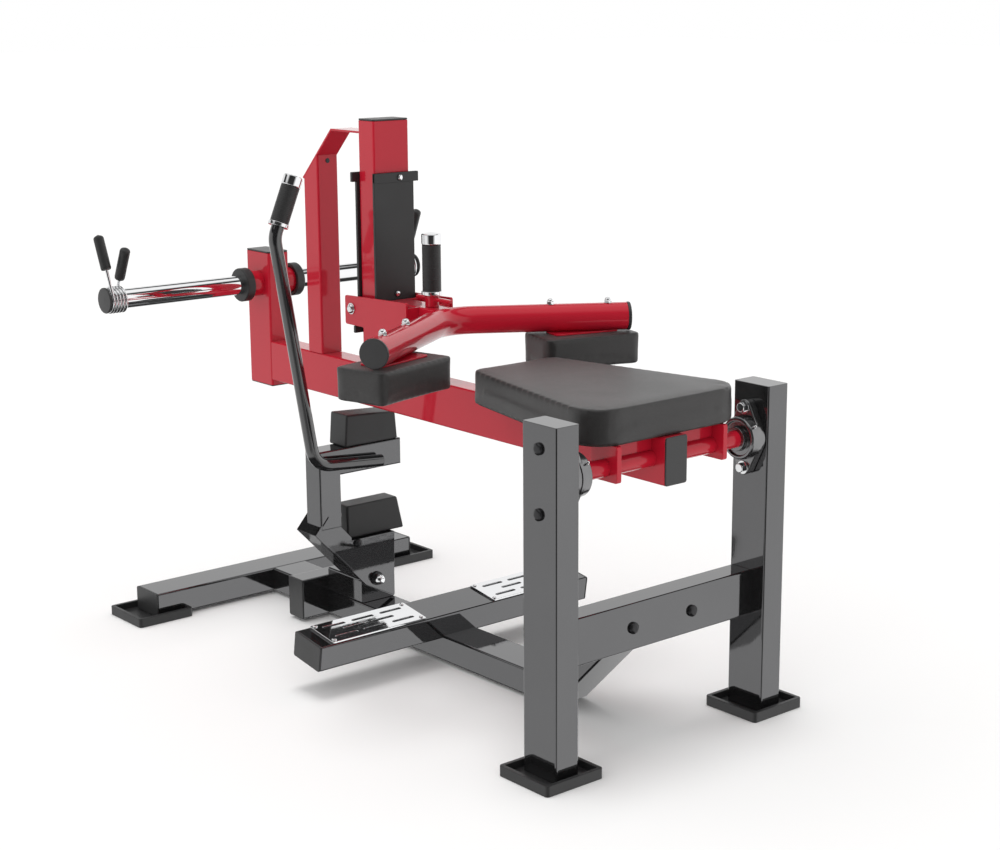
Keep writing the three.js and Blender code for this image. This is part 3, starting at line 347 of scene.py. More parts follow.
# %% Moulded recipes


def moulded(colour, gloss, pebble, depth, dust=0.25):
    """Pebble is the number of bumps to the metre and depth their height."""

    def recipe(place):
        patches = ramp(noise(place, 14.0, 4.0, 0.6), (0.40, 0.0), (0.80, 1.0))
        grain = cells(place, pebble) + noise(place, pebble * 2.3, 2.0) * 0.6
        return {
            "Base Color": mixed(patches, tinted(colour), tinted(colour, 1 + dust)),
            "Roughness": gloss + patches * 0.10,
            "Normal": bumped(grain, depth),
        }

    return recipe


rubber = new_finish("black_rubber", moulded((0.020, 0.020, 0.0205), 0.42, 900.0, 0.00010))
plastic = new_finish("dark_plastic", moulded((0.029, 0.029, 0.0295), 0.36, 1500.0, 0.00003, 0.12))
slide_plastic = new_finish(
    "slide_plastic", moulded((0.017, 0.017, 0.0175), 0.42, 1300.0, 0.00003, 0.15),
)
print("moulded", rubber.name, plastic.name)

# %% [markdown]
# ### Vinyl
# Upholstery vinyl is embossed with leather cells about one and a half millimetres across. Their
# walls are soft, so the cell distance is eased before it lifts the surface. Broad, faint waves
# keep the large flat top from looking like a sheet of glass.

# %% Vinyl recipe


def vinyl_recipe(place):
    """Height is the eased distance to the nearest cell wall, plus a broad wave; the walls also get
    painted shade.
    """
    warp = place.node("VectorMath", {"operation": "MULTIPLY_ADD"}, {
        0: place.node("TexNoise", None, {"Vector": place, "Scale": 90.0}, "Color"),
        1: (0.0016, 0.0016, 0.0016), 2: place,
    }, "Vector")
    wall = cells(warp, 620.0, "DISTANCE_TO_EDGE")
    dome = ramp(wall, (0.0, 0.0), (0.16, 0.75), (0.5, 1.0))
    wave = noise(place, 9.0, 2.0)
    worn = ramp(noise(place, 6.0, 3.0), (0.35, 0.0), (0.75, 1.0))
    return {
        # The base colour is darker down at the cell walls: painted shade in the creases of the grain.
        "Base Color": mixed(dome, (0.013, 0.012, 0.012, 1), (0.034, 0.032, 0.0315, 1)),
        "Roughness": 0.44 - dome * 0.05 - worn * 0.06,
        "Normal": bumped(dome * 0.22 + wave * 4.0, 0.00035),
    }


vinyl = new_finish("black_vinyl", vinyl_recipe, IOR=1.5, Sheen_Weight=0.12, Sheen_Roughness=0.45)
print("vinyl ready")

# %% [markdown]
# ### Chrome, zinc and cast iron
# Bright chrome is nearly a mirror: only its roughness changes, with finger marks and the very fine
# rings of polishing. The bolts are the same chrome or a black oxide. The bearings are cast, so a
# soft sand texture stays under their paint.

# %% Metal recipes


def polished(colour, gloss, smudge):
    """A mirror whose roughness grows by smudge where it was touched."""

    def recipe(place):
        touch = ramp(noise(place, 32.0, 4.0, 0.65), (0.48, 0.0), (0.72, 1.0))
        haze = noise(place, 7.0, 2.0)
        return {
            "Base Color": mixed(haze, tinted(colour, 0.93), tinted(colour)),
            "Roughness": gloss + touch * smudge,
            "Normal": bumped(noise(place, 150.0, 1.0), 0.00001),
        }

    return recipe


def cast_recipe(place):
    """Two sizes of sand grain under a coat of paint."""
    sand = noise(place, 420.0, 3.0, 0.6) + noise(place, 90.0, 2.0) * 0.8
    stain = ramp(noise(place, 18.0, 3.0), (0.35, 0.0), (0.7, 1.0))
    return {
        "Base Color": mixed(stain, (0.20, 0.20, 0.203, 1), (0.25, 0.25, 0.253, 1)),
        "Roughness": 0.07 + stain * 0.08,
        "Normal": bumped(sand, 0.00012),
    }


def plywood_recipe(place):
    """Plies are thin level bands; the face grain runs across the seat."""
    stretched = place.node("Mapping", None, {"Vector": place, "Scale": (2.0, 40.0, 4.0)})
    grain = noise(stretched, 10.0, 5.0, 0.65)
    plies = ramp((place.part("Z") * 2100.0).math("SINE"), (0.2, 0.0), (0.8, 1.0))
    tone = grain * 0.6 + plies * 0.4
    return {
        "Base Color": mixed(tone, (0.016, 0.012, 0.010, 1), (0.040, 0.031, 0.026, 1)),
        "Roughness": 0.55 + grain * 0.2,
        "Normal": bumped(grain, 0.0002),
    }


chrome = new_finish("bright_chrome", polished((0.88, 0.885, 0.895), 0.03, 0.07), Metallic=1.0)
black_oxide = new_finish("black_oxide", polished((0.028, 0.028, 0.030), 0.22, 0.14), Metallic=0.55)
cast_iron = new_finish("painted_casting", cast_recipe, Metallic=0.92)
plywood = new_finish("stained_plywood", plywood_recipe)

slot_finish = {
    "frame_paint": graphite,
    "lever_paint": red_enamel,
    "black_paint": black_enamel,
    "rubber": rubber,
    "black_plastic": plastic,
    "vinyl": vinyl,
    "chrome": chrome,
    "cast_iron": cast_iron,
    "plywood": plywood,
}
finish_slot = {material.name: slot for slot, material in slot_finish.items()}
finish_slot.update({"slide_plastic": "black_plastic", "black_oxide": "black_paint"})
print("finishes", len(bpy.data.materials))

# %% [markdown]
# ## Paint the CAD nodes
# A node whose shape is right keeps its mesh. Its material slot gets the finish of the slot that the
# record names for it.

# %% Give each CAD node its finish


def paint_nodes():
    """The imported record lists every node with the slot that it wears."""
    for entry in frame["record"]["subparts"]:
        mesh = frame["nodes"][entry["node"]].data
        mesh.materials.clear()
        mesh.materials.append(slot_finish[entry["material_slot"]])
    return len(frame["record"]["subparts"])


print("painted nodes", paint_nodes())

# %% [markdown]
# ## Surfaces from numbers
# Most of the machine is a section carried along a line: a rounded rectangle along a tube, a circle
# along a bend, a radius round an axis. Each one is an array of rings. Neighbouring rings are joined
# by quads and the two end rings are closed, so every piece is watertight and faces outwards.

# %% Rings to meshes
rear_face = 760.5  # of the rear posts, in millimetres behind the middle of the machine
sides = (("left", -1), ("right", 1))
sharp_angle, area_weight = 38.0, 90


def row(x, y, z):
    """Millimetres of the drawing, from the rear posts, to metres of the row frame."""
    return np.array([x, y - rear_face, z], float) / 1000


def unit(vectors):
    return vectors / np.linalg.norm(vectors, axis=-1, keepdims=True)


def on_circle(turn):
    return np.stack([np.cos(turn), np.sin(turn)], -1)


def ring_shell(rings):
    """rings is (rings, points, 3), counter-clockwise seen from the last ring."""
    count, around = rings.shape[:2]
    i = (np.arange(count - 1) * around)[:, None]
    j = np.arange(around)[None, :]
    k = (j + 1) % around
    faces = np.stack([i + j, i + k, i + around + k, i + around + j], -1).reshape(-1, 4).tolist()
    faces.append(list(range(around))[::-1])
    faces.append(list(range((count - 1) * around, count * around)))
    return rings.reshape(-1, 3), faces


def joined(shells):
    """Several shells as one list of points and faces."""
    points, faces, start = [], [], 0
    for shell_points, shell_faces in shells:
        points.append(shell_points)
        faces += [[start + corner for corner in face] for face in shell_faces]
        start += len(shell_points)
    return np.concatenate(points), faces


def make(name, shells, finish, body, nodes=(), sharp=sharp_angle):
    """Builds the mesh, paints it, and lets it ride on its body in place of the CAD nodes.

    Normals are weighted by area, so that a flat face stays flat up to its rounded edge.
    """
    points, faces = joined(shells)
    mesh = bpy.data.meshes.new(name)
    mesh.from_pydata(points.tolist(), [], faces)
    mesh.shade_smooth()
    mesh.set_sharp_from_angle(angle=math.radians(sharp))
    mesh.materials.append(finish)
    mesh.update()
    piece = added(name, mesh)
    even = piece.modifiers.new("even_faces", "WEIGHTED_NORMAL")
    even.keep_sharp = True
    even.weight = area_weight
    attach(piece, body)
    if nodes:
        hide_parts(*nodes)


def pair(name, shells_of, finish, body, node=None, sharp=sharp_angle):
    """Makes the left and the right piece; shells_of(sign) gives the shells of one side."""
    for side, sign in sides:
        nodes = [f"{node}_{side}"] if node else []
        make(f"{name}_{side}", shells_of(sign), finish, body, nodes, sharp)


def spread(middle, along, across, profile, places):
    """Point = middle + places * along + profile.u * across.u + profile.v * across.v."""
    flat = profile[..., :1] * across[0] + profile[..., 1:] * across[1]
    return middle + places[:, None, None] * along + flat


print("mesh tools ready")

# %% [markdown]
# ### Outlines
# A tube's section is a rectangle with quarter-circle corners. Flat plates have any outline with
# each corner eased by the same radius. Both are lists of points, counter-clockwise.

# %% Outlines
corner_steps, outline_steps, ease_steps = 8, 6, 4


def tube_outline(wide, tall, corner, steps=corner_steps):
    """Quarter circles at a rectangle's corners: corner centre + corner * (cos t, sin t)."""
    turn = np.linspace(0, np.pi / 2, steps + 1)[None, :] + (np.arange(4) * np.pi / 2)[:, None]
    signs = np.array([[1, 1], [-1, 1], [-1, -1], [1, -1]])
    centres = signs * [wide / 2 - corner, tall / 2 - corner]
    return (centres[:, None, :] + on_circle(turn) * corner).reshape(-1, 2)


def circle_outline(radius, around):
    return on_circle(np.arange(around) * 2 * np.pi / around) * radius


def rounded_line(points, steps, reach):
    """Each inner corner P becomes (1-t)^2 A + 2t(1-t) P + t^2 B, where A and B lie reach from P."""
    points = np.array(points, float)
    t = np.linspace(0, 1, steps + 1)[:, None]
    made = [points[:1]]
    for before, here, after in zip(points[:-2], points[1:-1], points[2:]):
        back, ahead = before - here, after - here
        far = reach(back, ahead)
        into, out = here + unit(back) * far, here + unit(ahead) * far
        made.append((1 - t) ** 2 * into + 2 * t * (1 - t) * here + t ** 2 * out)
    return np.concatenate(made + [points[-1:]])


def eased_outline(points, corner):
    """A closed outline whose corners are all eased over the same distance."""
    loop = [points[-1], *points, points[0]]
    return rounded_line(loop, outline_steps, lambda back, ahead: corner)[1:-1]


def soft_profile(points, radius, steps=4):
    """A profile of (radius, place) pairs, with inner corners eased over at most radius."""

    def reach(back, ahead):
        return min(radius, np.linalg.norm(back) * 0.45, np.linalg.norm(ahead) * 0.45)

    return rounded_line(points, steps, reach)


def inward(outline, depth):
    """Moves every point along the mean of its two edge normals, to lie depth inside the outline."""
    normals = []
    for edge in (outline - np.roll(outline, 1, 0), np.roll(outline, -1, 0) - outline):
        edge = edge / np.maximum(np.linalg.norm(edge, axis=1, keepdims=True), 1e-12)
        normals.append(np.stack([-edge[:, 1], edge[:, 0]], -1))
    mean = normals[0] + normals[1]
    mean /= np.maximum(np.linalg.norm(mean, axis=1, keepdims=True), 1e-12)
    reach = depth / np.maximum((mean * normals[0]).sum(1, keepdims=True), 0.35)
    return outline + mean * reach


def strip(points, thick):
    """Outline of an even strip to the left of a line; inner corner = P + n * thick / (n . n1)."""
    line = np.array(points, float)
    edges = unit(line[1:] - line[:-1])
    normals = np.stack([-edges[:, 1], edges[:, 0]], -1)
    middle = unit(np.concatenate([normals[:1], normals[1:] + normals[:-1], normals[-1:]]))
    first = np.concatenate([normals[:1], normals])
    inner = line + middle * thick / (middle * first).sum(1, keepdims=True)
    return np.concatenate([line, inner[::-1]])


print("outline tools ready")

# %% [markdown]
# ### Plates, bars and turned parts
# A plate is its outline, carried along one axis, and a turned part is a profile carried round one.

# %% Plates, bars and turned parts
axes = {
    "x": ((1, 0, 0), ((0, 1, 0), (0, 0, 1))),
    "y": ((0, 1, 0), ((0, 0, 1), (1, 0, 0))),
    "z": ((0, 0, 1), ((1, 0, 0), (0, 1, 0))),
}
closed = 0.0002  # radius at which a turned part ends on its own axis


def edge_steps(thick, ease):
    """Inset and place of each ring of a plate whose two edges are rounded by ease.

    At angle t the ring lies ease * (1 - sin t) inside and ease * (1 - cos t) from the end face.
    """
    t = np.linspace(0, np.pi / 2, ease_steps + 1)
    insets = ease * (1 - np.sin(t))
    places = ease * (1 - np.cos(t)) - thick / 2
    return np.concatenate([insets, insets[::-1]]), np.concatenate([places, -places[::-1]])


def eased_prism(outline, thick, ease, middle, along, across):
    """A plate or bar: the outline carried thick along its axis."""
    insets, places = edge_steps(thick, ease)
    profile = np.stack([inward(outline, inset) for inset in insets])
    along, across = np.array(along, float), np.array(across, float)
    return ring_shell(spread(np.array(middle), along, across, profile, places))


def bar(low, high, axis, corner=0.005, ease=0.0012):
    """A rounded bar that fills the box from low to high, its length along axis."""
    low, high = np.array(low, float), np.array(high, float)
    along, across = axes[axis]
    long, wide, tall = (abs(np.dot(high - low, way)) for way in (along, *across))
    outline = tube_outline(wide, tall, corner)
    return eased_prism(outline, long, ease, (low + high) / 2, along, across)


def cut_plate(points, low, high, axis, corner, ease):
    """A flat plate from low to high along its axis, in the drawing's millimetres.

    Its points are (y, z) for axis x, (x, z) for axis y and (x, y) for axis z. corner rounds the
    outline and ease both edges.
    """
    shift = {"x": [rear_face, 0], "y": [0, 0], "z": [0, rear_face]}[axis]
    at = np.array(points, float) - shift
    if axis == "y":
        at = at[:, ::-1]
    after = np.roll(at, -1, 0)
    if (at[:, 0] * after[:, 1] - at[:, 1] * after[:, 0]).sum() < 0:
        at = at[::-1]
    along, across = (np.array(way, float) for way in axes[axis])
    centre = (low + high) / 2 - (rear_face if axis == "y" else 0)
    insets, places = edge_steps(high - low, ease)
    rounds = np.maximum(corner - insets, corner * 0.3)
    profile = np.stack([eased_outline(inward(at, inset), r) for inset, r in zip(insets, rounds)])
    return ring_shell(spread(along * centre, along, across, profile, places) / 1000)


def square_to(axis):
    """The axis as a unit vector, and two unit vectors square to it."""
    axis = unit(np.array(axis, float))
    side = unit(np.cross(axis, [0, 0, 1.0] if abs(axis[2]) < 0.9 else [1.0, 0, 0]))
    return axis, side, np.cross(axis, side)


def turned(profile, middle, axis, around=72):
    """profile is (radius, place) pairs: rings of that radius round middle + place * axis."""
    axis, side, top = square_to(axis)
    profile = np.array(profile, float)
    ring = circle_outline(1.0, around)[None] * profile[:, :1, None]
    return ring_shell(spread(np.array(middle, float), axis, (side, top), ring, profile[:, 1]))


def disc(middle, axis, hole, radius, low, high, soft, steps=4, around=72):
    """A ring from low to high along its axis, with eased corners."""
    profile = soft_profile([(hole, low), (radius, low), (radius, high), (hole, high)], soft, steps)
    return turned(profile, middle, axis, around)


print("plate tools ready")

# %% [markdown]
# ## The welded frame
# Rectangular tube, a hundred by sixty millimetres, makes both the frame and the lever. Its corners
# are drawn at the mill to a radius of a few millimetres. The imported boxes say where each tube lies,
# so a tube is one call on its node's box.

# %% Straight tubes
straight_tubes = [
    ("rear_post_left", "z", graphite, "base"),
    ("rear_post_right", "z", graphite, "base"),
    ("rear_cross_tube", "x", graphite, "base"),
    ("front_floor_tube", "x", graphite, "base"),
    ("lever_beam", "y", red_enamel, "lever"),
    ("main_post", "z", red_enamel, "lever"),
]
for name, axis, finish, body in straight_tubes:
    make(name + "_tube", [bar(*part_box(name), axis)], finish, body, [name])
print("straight tubes", len(straight_tubes))

# %% [markdown]
# The centre tube lies flat and then climbs at forty-five degrees to the rear cross tube. Its rings
# stand where it is cut: square in front, on the mitre at the bend, and upright where it meets the
# cross tube. A point of the section slides along its own edge of the tube until it reaches the cut.

# %% Centre tube with its ramp
tube_wide, tube_deep, tube_corner = 100.0, 60.0, 5.0
floor_gap = 7.3
bend_y, ramp_angle = 320.0, math.radians(45)
cross_front, catch_rear = 97.3, 1171.7


def cut_ring(outline, centre, heading, plane_point, plane_normal):
    """Slides the section, which is square to heading, along heading onto the cutting plane."""
    across = np.array([1.0, 0, 0])
    points = centre + outline[:, :1] * across + outline[:, 1:] * np.cross(across, heading)
    slide = ((plane_point - points) @ plane_normal) / (heading @ plane_normal)
    return points + slide[:, None] * heading


def centre_tube_shell():
    """Rings at the upright rear cut, at the mitre and at the square front cut."""
    outline = tube_outline(tube_wide, tube_deep, tube_corner)
    flat = np.array([0, 1.0, 0])
    ramp_heading = np.array([0, math.cos(ramp_angle), -math.sin(ramp_angle)])
    half = tube_deep / 2
    bend = np.array([0, bend_y + half * math.tan(ramp_angle / 2), floor_gap + half])
    cuts = [
        cut_ring(outline, bend, ramp_heading, np.array([0, cross_front, 0]), flat),
        cut_ring(outline, bend, ramp_heading, bend, flat + ramp_heading),
        cut_ring(outline, bend, flat, np.array([0, catch_rear, 0]), flat),
    ]
    return ring_shell((np.stack(cuts) - [0, rear_face, 0]) / 1000)


make("centre_tube_bent", [centre_tube_shell()], graphite, "base", ["centre_tube"])
print("centre tube ready")

# %% [markdown]
# The foot bar is tipped nine degrees towards the user's toes. It is drawn level round its own
# middle and then turned, as the fitter does with a square. Moulded plugs close its ends.

# %% Foot bar with its plugs
bar_middle = row(0, 755.5, 98)
bar_tilt = math.radians(9)
bar_reach = np.array([0.3917, 0.05, 0.03])
plug_corner, plug_ease, plug_thick = 0.0052, 0.0016, 0.004


def tipped(shell):
    """Turns a shell that was drawn round the origin about X and sets it on the bar's middle."""
    points, faces = shell
    c, s = math.cos(bar_tilt), math.sin(bar_tilt)
    turn = np.array([[1, 0, 0], [0, c, -s], [0, s, c]])
    return points @ turn.T + bar_middle, faces


def end_plate(wide, tall, thick, middle):
    """Face of the plug in a tube along X: a rounded plate with a soft edge."""
    return eased_prism(tube_outline(wide, tall, plug_corner), thick, plug_ease, middle, *axes["x"])


def bar_plug(sign):
    middle = np.array([sign * (bar_reach[0] + 0.0023), 0, 0])
    return [tipped(end_plate(0.1, 0.06, plug_thick, middle))]


make("foot_bar_tube", [tipped(bar(-bar_reach, bar_reach, "x"))], graphite, "base", ["foot_bar"])
pair("foot_bar_plug", bar_plug, plastic, "base", "foot_bar_cap")
print("foot bar ready")

# %% [markdown]
# Each tread plate is chromed steel with staggered slots. A flat curve fills an outline and leaves
# its holes open; Blender rounds its edges, and the mesh is then taken from it.

# %% Pierced plates from flat curves


def mesh_points(mesh):
    flat = np.zeros(len(mesh.vertices) * 3)
    mesh.vertices.foreach_get("co", flat)
    return flat.reshape(-1, 3)


def flat_shell(outlines, thick, ease, place):
    """The first outline is the edge, the others are holes; place maps points to the frame."""
    curve = bpy.data.curves.new("flat", "CURVE")
    curve.dimensions = "2D"
    curve.fill_mode = "BOTH"
    curve.extrude = thick / 2 - ease
    curve.bevel_depth = ease
    curve.bevel_resolution = 2
    curve.offset = -ease
    for outline in outlines:
        spline = curve.splines.new("POLY")
        spline.points.add(len(outline) - 1)
        ends = np.tile([0.0, 1.0], (len(outline), 1))
        spline.points.foreach_set("co", np.concatenate([outline, ends], 1).ravel())
        spline.use_cyclic_u = True
    holder = bpy.data.objects.new("flat", curve)
    mesh = bpy.data.meshes.new_from_object(holder)
    shell = place(mesh_points(mesh)), [list(face.vertices) for face in mesh.polygons]
    bpy.data.objects.remove(holder)
    bpy.data.curves.remove(curve)
    bpy.data.meshes.remove(mesh)
    return shell


tread_long, tread_wide, tread_thick = 0.260, 0.092, 0.004
tread_middle, tread_gap = 0.230, 0.0003
slot_long, slot_wide = 0.060, 0.008
slot_pitch, slot_row_pitch = 0.078, 0.025


def tread_outlines():
    """Three rows of slots; the middle row has one fewer and lies between the others."""
    outlines = [tube_outline(tread_long, tread_wide, 0.004, 4)]
    slot = tube_outline(slot_long, slot_wide, slot_wide / 2 - 0.0001, 6)
    for line in range(3):
        count = 3 - line % 2
        for column in range(count):
            x = (column - (count - 1) / 2) * slot_pitch
            outlines.append(slot[::-1] + [x, (line - 1) * slot_row_pitch])
    return outlines


def tread(sign):
    middle = np.array([sign * tread_middle, 0, bar_reach[2] + tread_gap + tread_thick / 2])
    shell = flat_shell(tread_outlines(), tread_thick, 0.0007, lambda points: points + middle)
    return [tipped(shell)]


pair("tread", tread, chrome, "base", "tread_plate", 50)
print("treads ready")

# %% [markdown]
# In front, a short cross tube lies over the end of the centre tube, and a block with a lug holds
# the pivot of the catch. Both are built from the same bar function. Every open tube end has a
# moulded plug, of which only the face shows.

# %% Catch cross tube, pivot block and plugs
cross_tube = bar(row(-125, 1172, 7.3), row(125, 1232, 107.3), "x")
stub = bar(row(-50, 1231, 7.3), row(50, 1420.7, 67.3), "y")
make("catch_cross_tube_welded", [cross_tube, stub], graphite, "base", ["catch_cross_tube"])
pair("catch_tube_plug", lambda sign: [
    end_plate(0.06, 0.1, 0.003, row(sign * 126.6, 1202, 57.3)),
], plastic, "base")
lug_points = [(-50, 67.6), (50, 67.6), (50, 127.6), (32, 155), (-32, 155), (-50, 127.6)]
lug_outline = eased_outline(np.array(lug_points) / 1000, 0.006)
pivot_hole = circle_outline(0.0083, 40)[::-1] + [-0.010, 0.126]
lug_y = row(0, 1036, 0)[1]


def upright(points):
    """The lug's outline is (x, z) and its thickness runs along y."""
    return np.stack([points[:, 0], lug_y - points[:, 2], points[:, 1]], -1)


block = bar(row(-50, 1041, 67.6), row(50, 1171.7, 127.6), "y")
lug = flat_shell([lug_outline, pivot_hole], 0.012, 0.001, upright)
make("catch_pivot_lug", [block, lug], graphite, "base", ["catch_pivot_block"])

plug_faces = [
    ("floor_tube_cap_left", "x", -1, "base"),
    ("floor_tube_cap_right", "x", 1, "base"),
    ("lever_beam_cap", "y", -1, "lever"),
    ("weight_post_cap", "z", 1, "lever"),
    ("main_post_cap", "z", 1, "lever"),
]


def plug_face(node, axis, sign):
    """The outer plug_thick of the plug's box."""
    low, high = np.array(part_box(node))
    k = "xyz".index(axis)
    if sign < 0:
        high[k] = low[k] + plug_thick
    else:
        low[k] = high[k] - plug_thick
    return bar(low, high, axis, plug_corner, plug_ease)


for node, axis, sign, body in plug_faces:
    make(node.replace("_cap", "_plug"), [plug_face(node, axis, sign)], plastic, body, [node])
print("plugs", len(plug_faces))

# %% [markdown]
# ## Weight post, horns and stop rings
# The weight post carries a welded hub on each side. A chromed horn is pressed into it, with a deep
# rubber ring that reaches back over the hub, against which the plates stop, and a moulded cap at
# the end. Round parts are profiles turned about the horn's axis.

# %% Weight post and horns
horn_middle = row(0, 1478, 803.5)
horn_radius, horn_end = 0.024, 0.456
hub_radius, hub_end = 0.032, 0.074
post_half = 0.030
post_low, post_high = np.array(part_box("weight_post"))
post_low[0], post_high[0] = -post_half, post_half


def round_horn(profile, around=72):
    """A part round the horns' axis, for either side."""
    return lambda sign: [turned(profile, horn_middle, (sign, 0, 0), around)]


hub_profile = [(hub_radius, 0.029), (hub_radius, hub_end), (horn_radius, hub_end)]
hub = round_horn(soft_profile(hub_profile, 0.0015))
post_shells = [bar(post_low, post_high, "z"), *hub(-1), *hub(1)]
make("weight_post_welded", post_shells, red_enamel, "lever", ["weight_post"])
horn_profile = [(0.0238, 0.0743), (horn_radius, 0.0746), (horn_radius, 0.4555), (0.0235, horn_end)]
ring_profile = soft_profile([
    (0.0243, 0.0745), (0.0325, 0.0745), (0.0325, 0.0615), (0.0420, 0.0615), (0.0420, 0.0855),
    (0.0243, 0.0855),
], 0.0035)
horn_cap_profile = soft_profile([
    (closed, 0.4563), (0.031, 0.4563), (0.031, 0.4623), (closed, 0.4631),
], 0.0022)
pair("horn", round_horn(horn_profile, 96), chrome, "lever", "weight_horn")
pair("stop_ring", round_horn(ring_profile, 96), rubber, "lever", "horn_stop_ring")
pair("horn_cap", round_horn(horn_cap_profile), plastic, "lever", "horn_end_cap")
print("horns ready")

# %% [markdown]
# ## Lines with bends
# The thigh pad tube, the catch handle and the wire of a collar are circles carried along a line.
# The line is an array of points; its heading at each comes from the neighbours, and two vectors
# square to it carry the circle.

# %% Bent lines


def bent_line(points, radius, steps=16):
    """Straight lines whose bends start and end radius / tan(half the angle between them) away."""

    def reach(back, ahead):
        return radius / math.tan(math.acos(unit(back) @ unit(ahead)) / 2)

    return rounded_line(points, steps, reach)


def carried(line, radius, level, around):
    """Circle of the given radius at each point of the line; level is roughly square to the line."""
    heading = unit(np.gradient(line, axis=0))
    side = unit(np.cross(heading, np.array(level, float)))
    top = np.cross(heading, side)
    ring = circle_outline(radius, around)
    flat = ring[None, :, :1] * side[:, None] + ring[None, :, 1:] * top[:, None]
    return ring_shell(line[:, None] + flat)


v_apex, v_sweep, v_end, v_z, v_radius = 752.3, math.radians(32), 356.0, 797.0, 31.75


def on_v(x, z=v_z):
    """A point over the middle line of the V tube."""
    return row(x, v_apex - math.tan(v_sweep) * abs(x), z)


v_line = bent_line([on_v(x) for x in (-v_end, 0, v_end)], 0.120, 24)
pad_x, pad_y, pad_turn = 267.0, 583.5, math.radians(14.2)
pad_plate_top, pad_plate_thick = 766.75, 4.0


def pad_plate_shell(sign):
    """Plate under the tube's end, turned with the pad and welded along the tube."""
    turn = -sign * pad_turn
    across = ((math.cos(turn), math.sin(turn), 0), (-math.sin(turn), math.cos(turn), 0))
    outline = tube_outline(0.160, 0.060, 0.008, 6)
    middle = row(sign * pad_x, pad_y, pad_plate_top - pad_plate_thick / 2)
    return eased_prism(outline, pad_plate_thick / 1000, 0.0008, middle, (0, 0, 1), across)


tube_shells = [carried(v_line, v_radius / 1000, (0, 0, 1), 72)]
tube_shells += [pad_plate_shell(sign) for _, sign in sides]
make("thigh_tube", tube_shells, red_enamel, "carriage", ["v_tube"])
v_cap_profile = soft_profile([
    (closed, 0.0003), (0.0325, 0.0003), (0.0325, 0.008), (closed, 0.0083),
], 0.0026, 6)


def thigh_tube_plug(sign):
    outward = (sign * math.cos(v_sweep), -math.sin(v_sweep), 0)
    return [turned(v_cap_profile, on_v(sign * v_end), outward)]


pair("thigh_tube_plug", thigh_tube_plug, plastic, "carriage", "v_tube_cap")
print("thigh tube ready")

# %% [markdown]
# ## Catch handle and grips
# The handle is one bent tube painted gloss black. A rubber grip with a chrome ring and a chrome cap
# is pushed over its end, and the carriage has the same grip. Fine rings are moulded in the rubber
# so that a sweaty hand holds it.

# %% Handle
catch_y = 1022.0
handle_radius = 0.015
handle_y = catch_y - 0.3 - handle_radius * 1000
handle_bends = (-1, 424), (-192, 440), (-282, 985), (-229, 1111)
handle_corners = [row(x, handle_y, z) for x, z in handle_bends]
handle_line = bent_line(handle_corners, 0.060, 20)
handle = carried(handle_line, handle_radius, (0, 1, 0), 48)
make("catch_handle_bent", [handle], black_enamel, "catch", ["catch_handle"])

rubber_radius, ring_radius, cap_radius = 0.0215, 0.024, 0.0225
ring_tall, ring_hole, cap_long = 0.009, 0.0155, 0.028
groove_pitch, groove_deep = 0.0042, 0.00045


def ribbed_profile(start, end):
    """Radius = rubber_radius - groove_deep * (0.5 + 0.5 cos(2 pi s / groove_pitch))^4."""
    s = np.arange(start, end, groove_pitch / 8)
    wave = (0.5 + 0.5 * np.cos(2 * np.pi * (s - start) / groove_pitch)) ** 4
    body = np.stack([rubber_radius - groove_deep * wave, s], -1)
    lip = rubber_radius - 0.0015
    return np.concatenate([[(0.017, start), (lip, start)], body, [(lip, end), (0.017, end)]])


def grip(name, foot, heading, start, end, body):
    """Rubber from start to end along heading, a chrome ring before it and a chrome cap after."""
    sleeve = turned(ribbed_profile(start, end), foot, heading)
    make(name + "_rubber", [sleeve], rubber, body, [name])
    ring = disc(foot, heading, ring_hole, ring_radius, start - ring_tall, start, 0.0014)
    tip = end + cap_long
    cap = soft_profile([
        (ring_hole, end), (cap_radius, end), (cap_radius, tip - 0.004), (closed, tip),
    ], 0.003)
    make(name + "_ring", [ring], chrome, body)
    make(name + "_cap", [turned(cap, foot, heading)], chrome, body)


wrist, tip = handle_corners[2:]
grip("catch_grip", wrist, tip - wrist, 0.035, np.linalg.norm(tip - wrist) - 0.016, "catch")
stem_foot = row(0, 797, 824.3)
stem = disc(stem_foot, (0, 0, 1), closed, 0.016, 0, 0.027, 0.0008)
make("hand_grip_stem", [stem], red_enamel, "carriage")
grip("hand_grip", stem_foot, (0, 0, 1), 0.036, 0.142, "carriage")
print("grips ready")

# %% [markdown]
# ## Spring collars
# A collar is one chromed wire: a tang, four and a half turns round the horn, and the second tang.
# Squeezing the tangs opens the coil. Rubber sleeves cover the tangs.

# %% Wire and sleeves
wire_radius, wire_pitch = 0.00375, 0.0083
collar_gap = 0.0003
coil_radius = (horn_radius + collar_gap + wire_radius) / math.cos(math.pi / 12)
outer_lean, inner_lean = math.radians(23), math.radians(26)
outer_long, inner_long = 0.151, 0.122
sleeve_long, sleeve_radius = 0.087, 0.0125


def collar_line(steps=260):
    """Straight, then (a pitch / 2 pi, -R cos a, -R sin a) for a growing angle a, then straight."""
    first = -outer_lean
    last = 9 * math.pi + inner_lean
    angle = np.linspace(first, last, steps)
    along = (angle - first) / (2 * math.pi) * wire_pitch
    coil = np.stack([along, -coil_radius * np.cos(angle), -coil_radius * np.sin(angle)], -1)
    enter = np.array([0, math.sin(first), -math.cos(first)])
    leave = np.array([0, math.sin(last), -math.cos(last)])
    before = coil[0] - enter * np.linspace(outer_long, 0.004, 12)[:, None]
    after = coil[-1] + leave * np.linspace(0.004, inner_long, 12)[:, None]
    return np.concatenate([before, coil, after]), -enter, leave


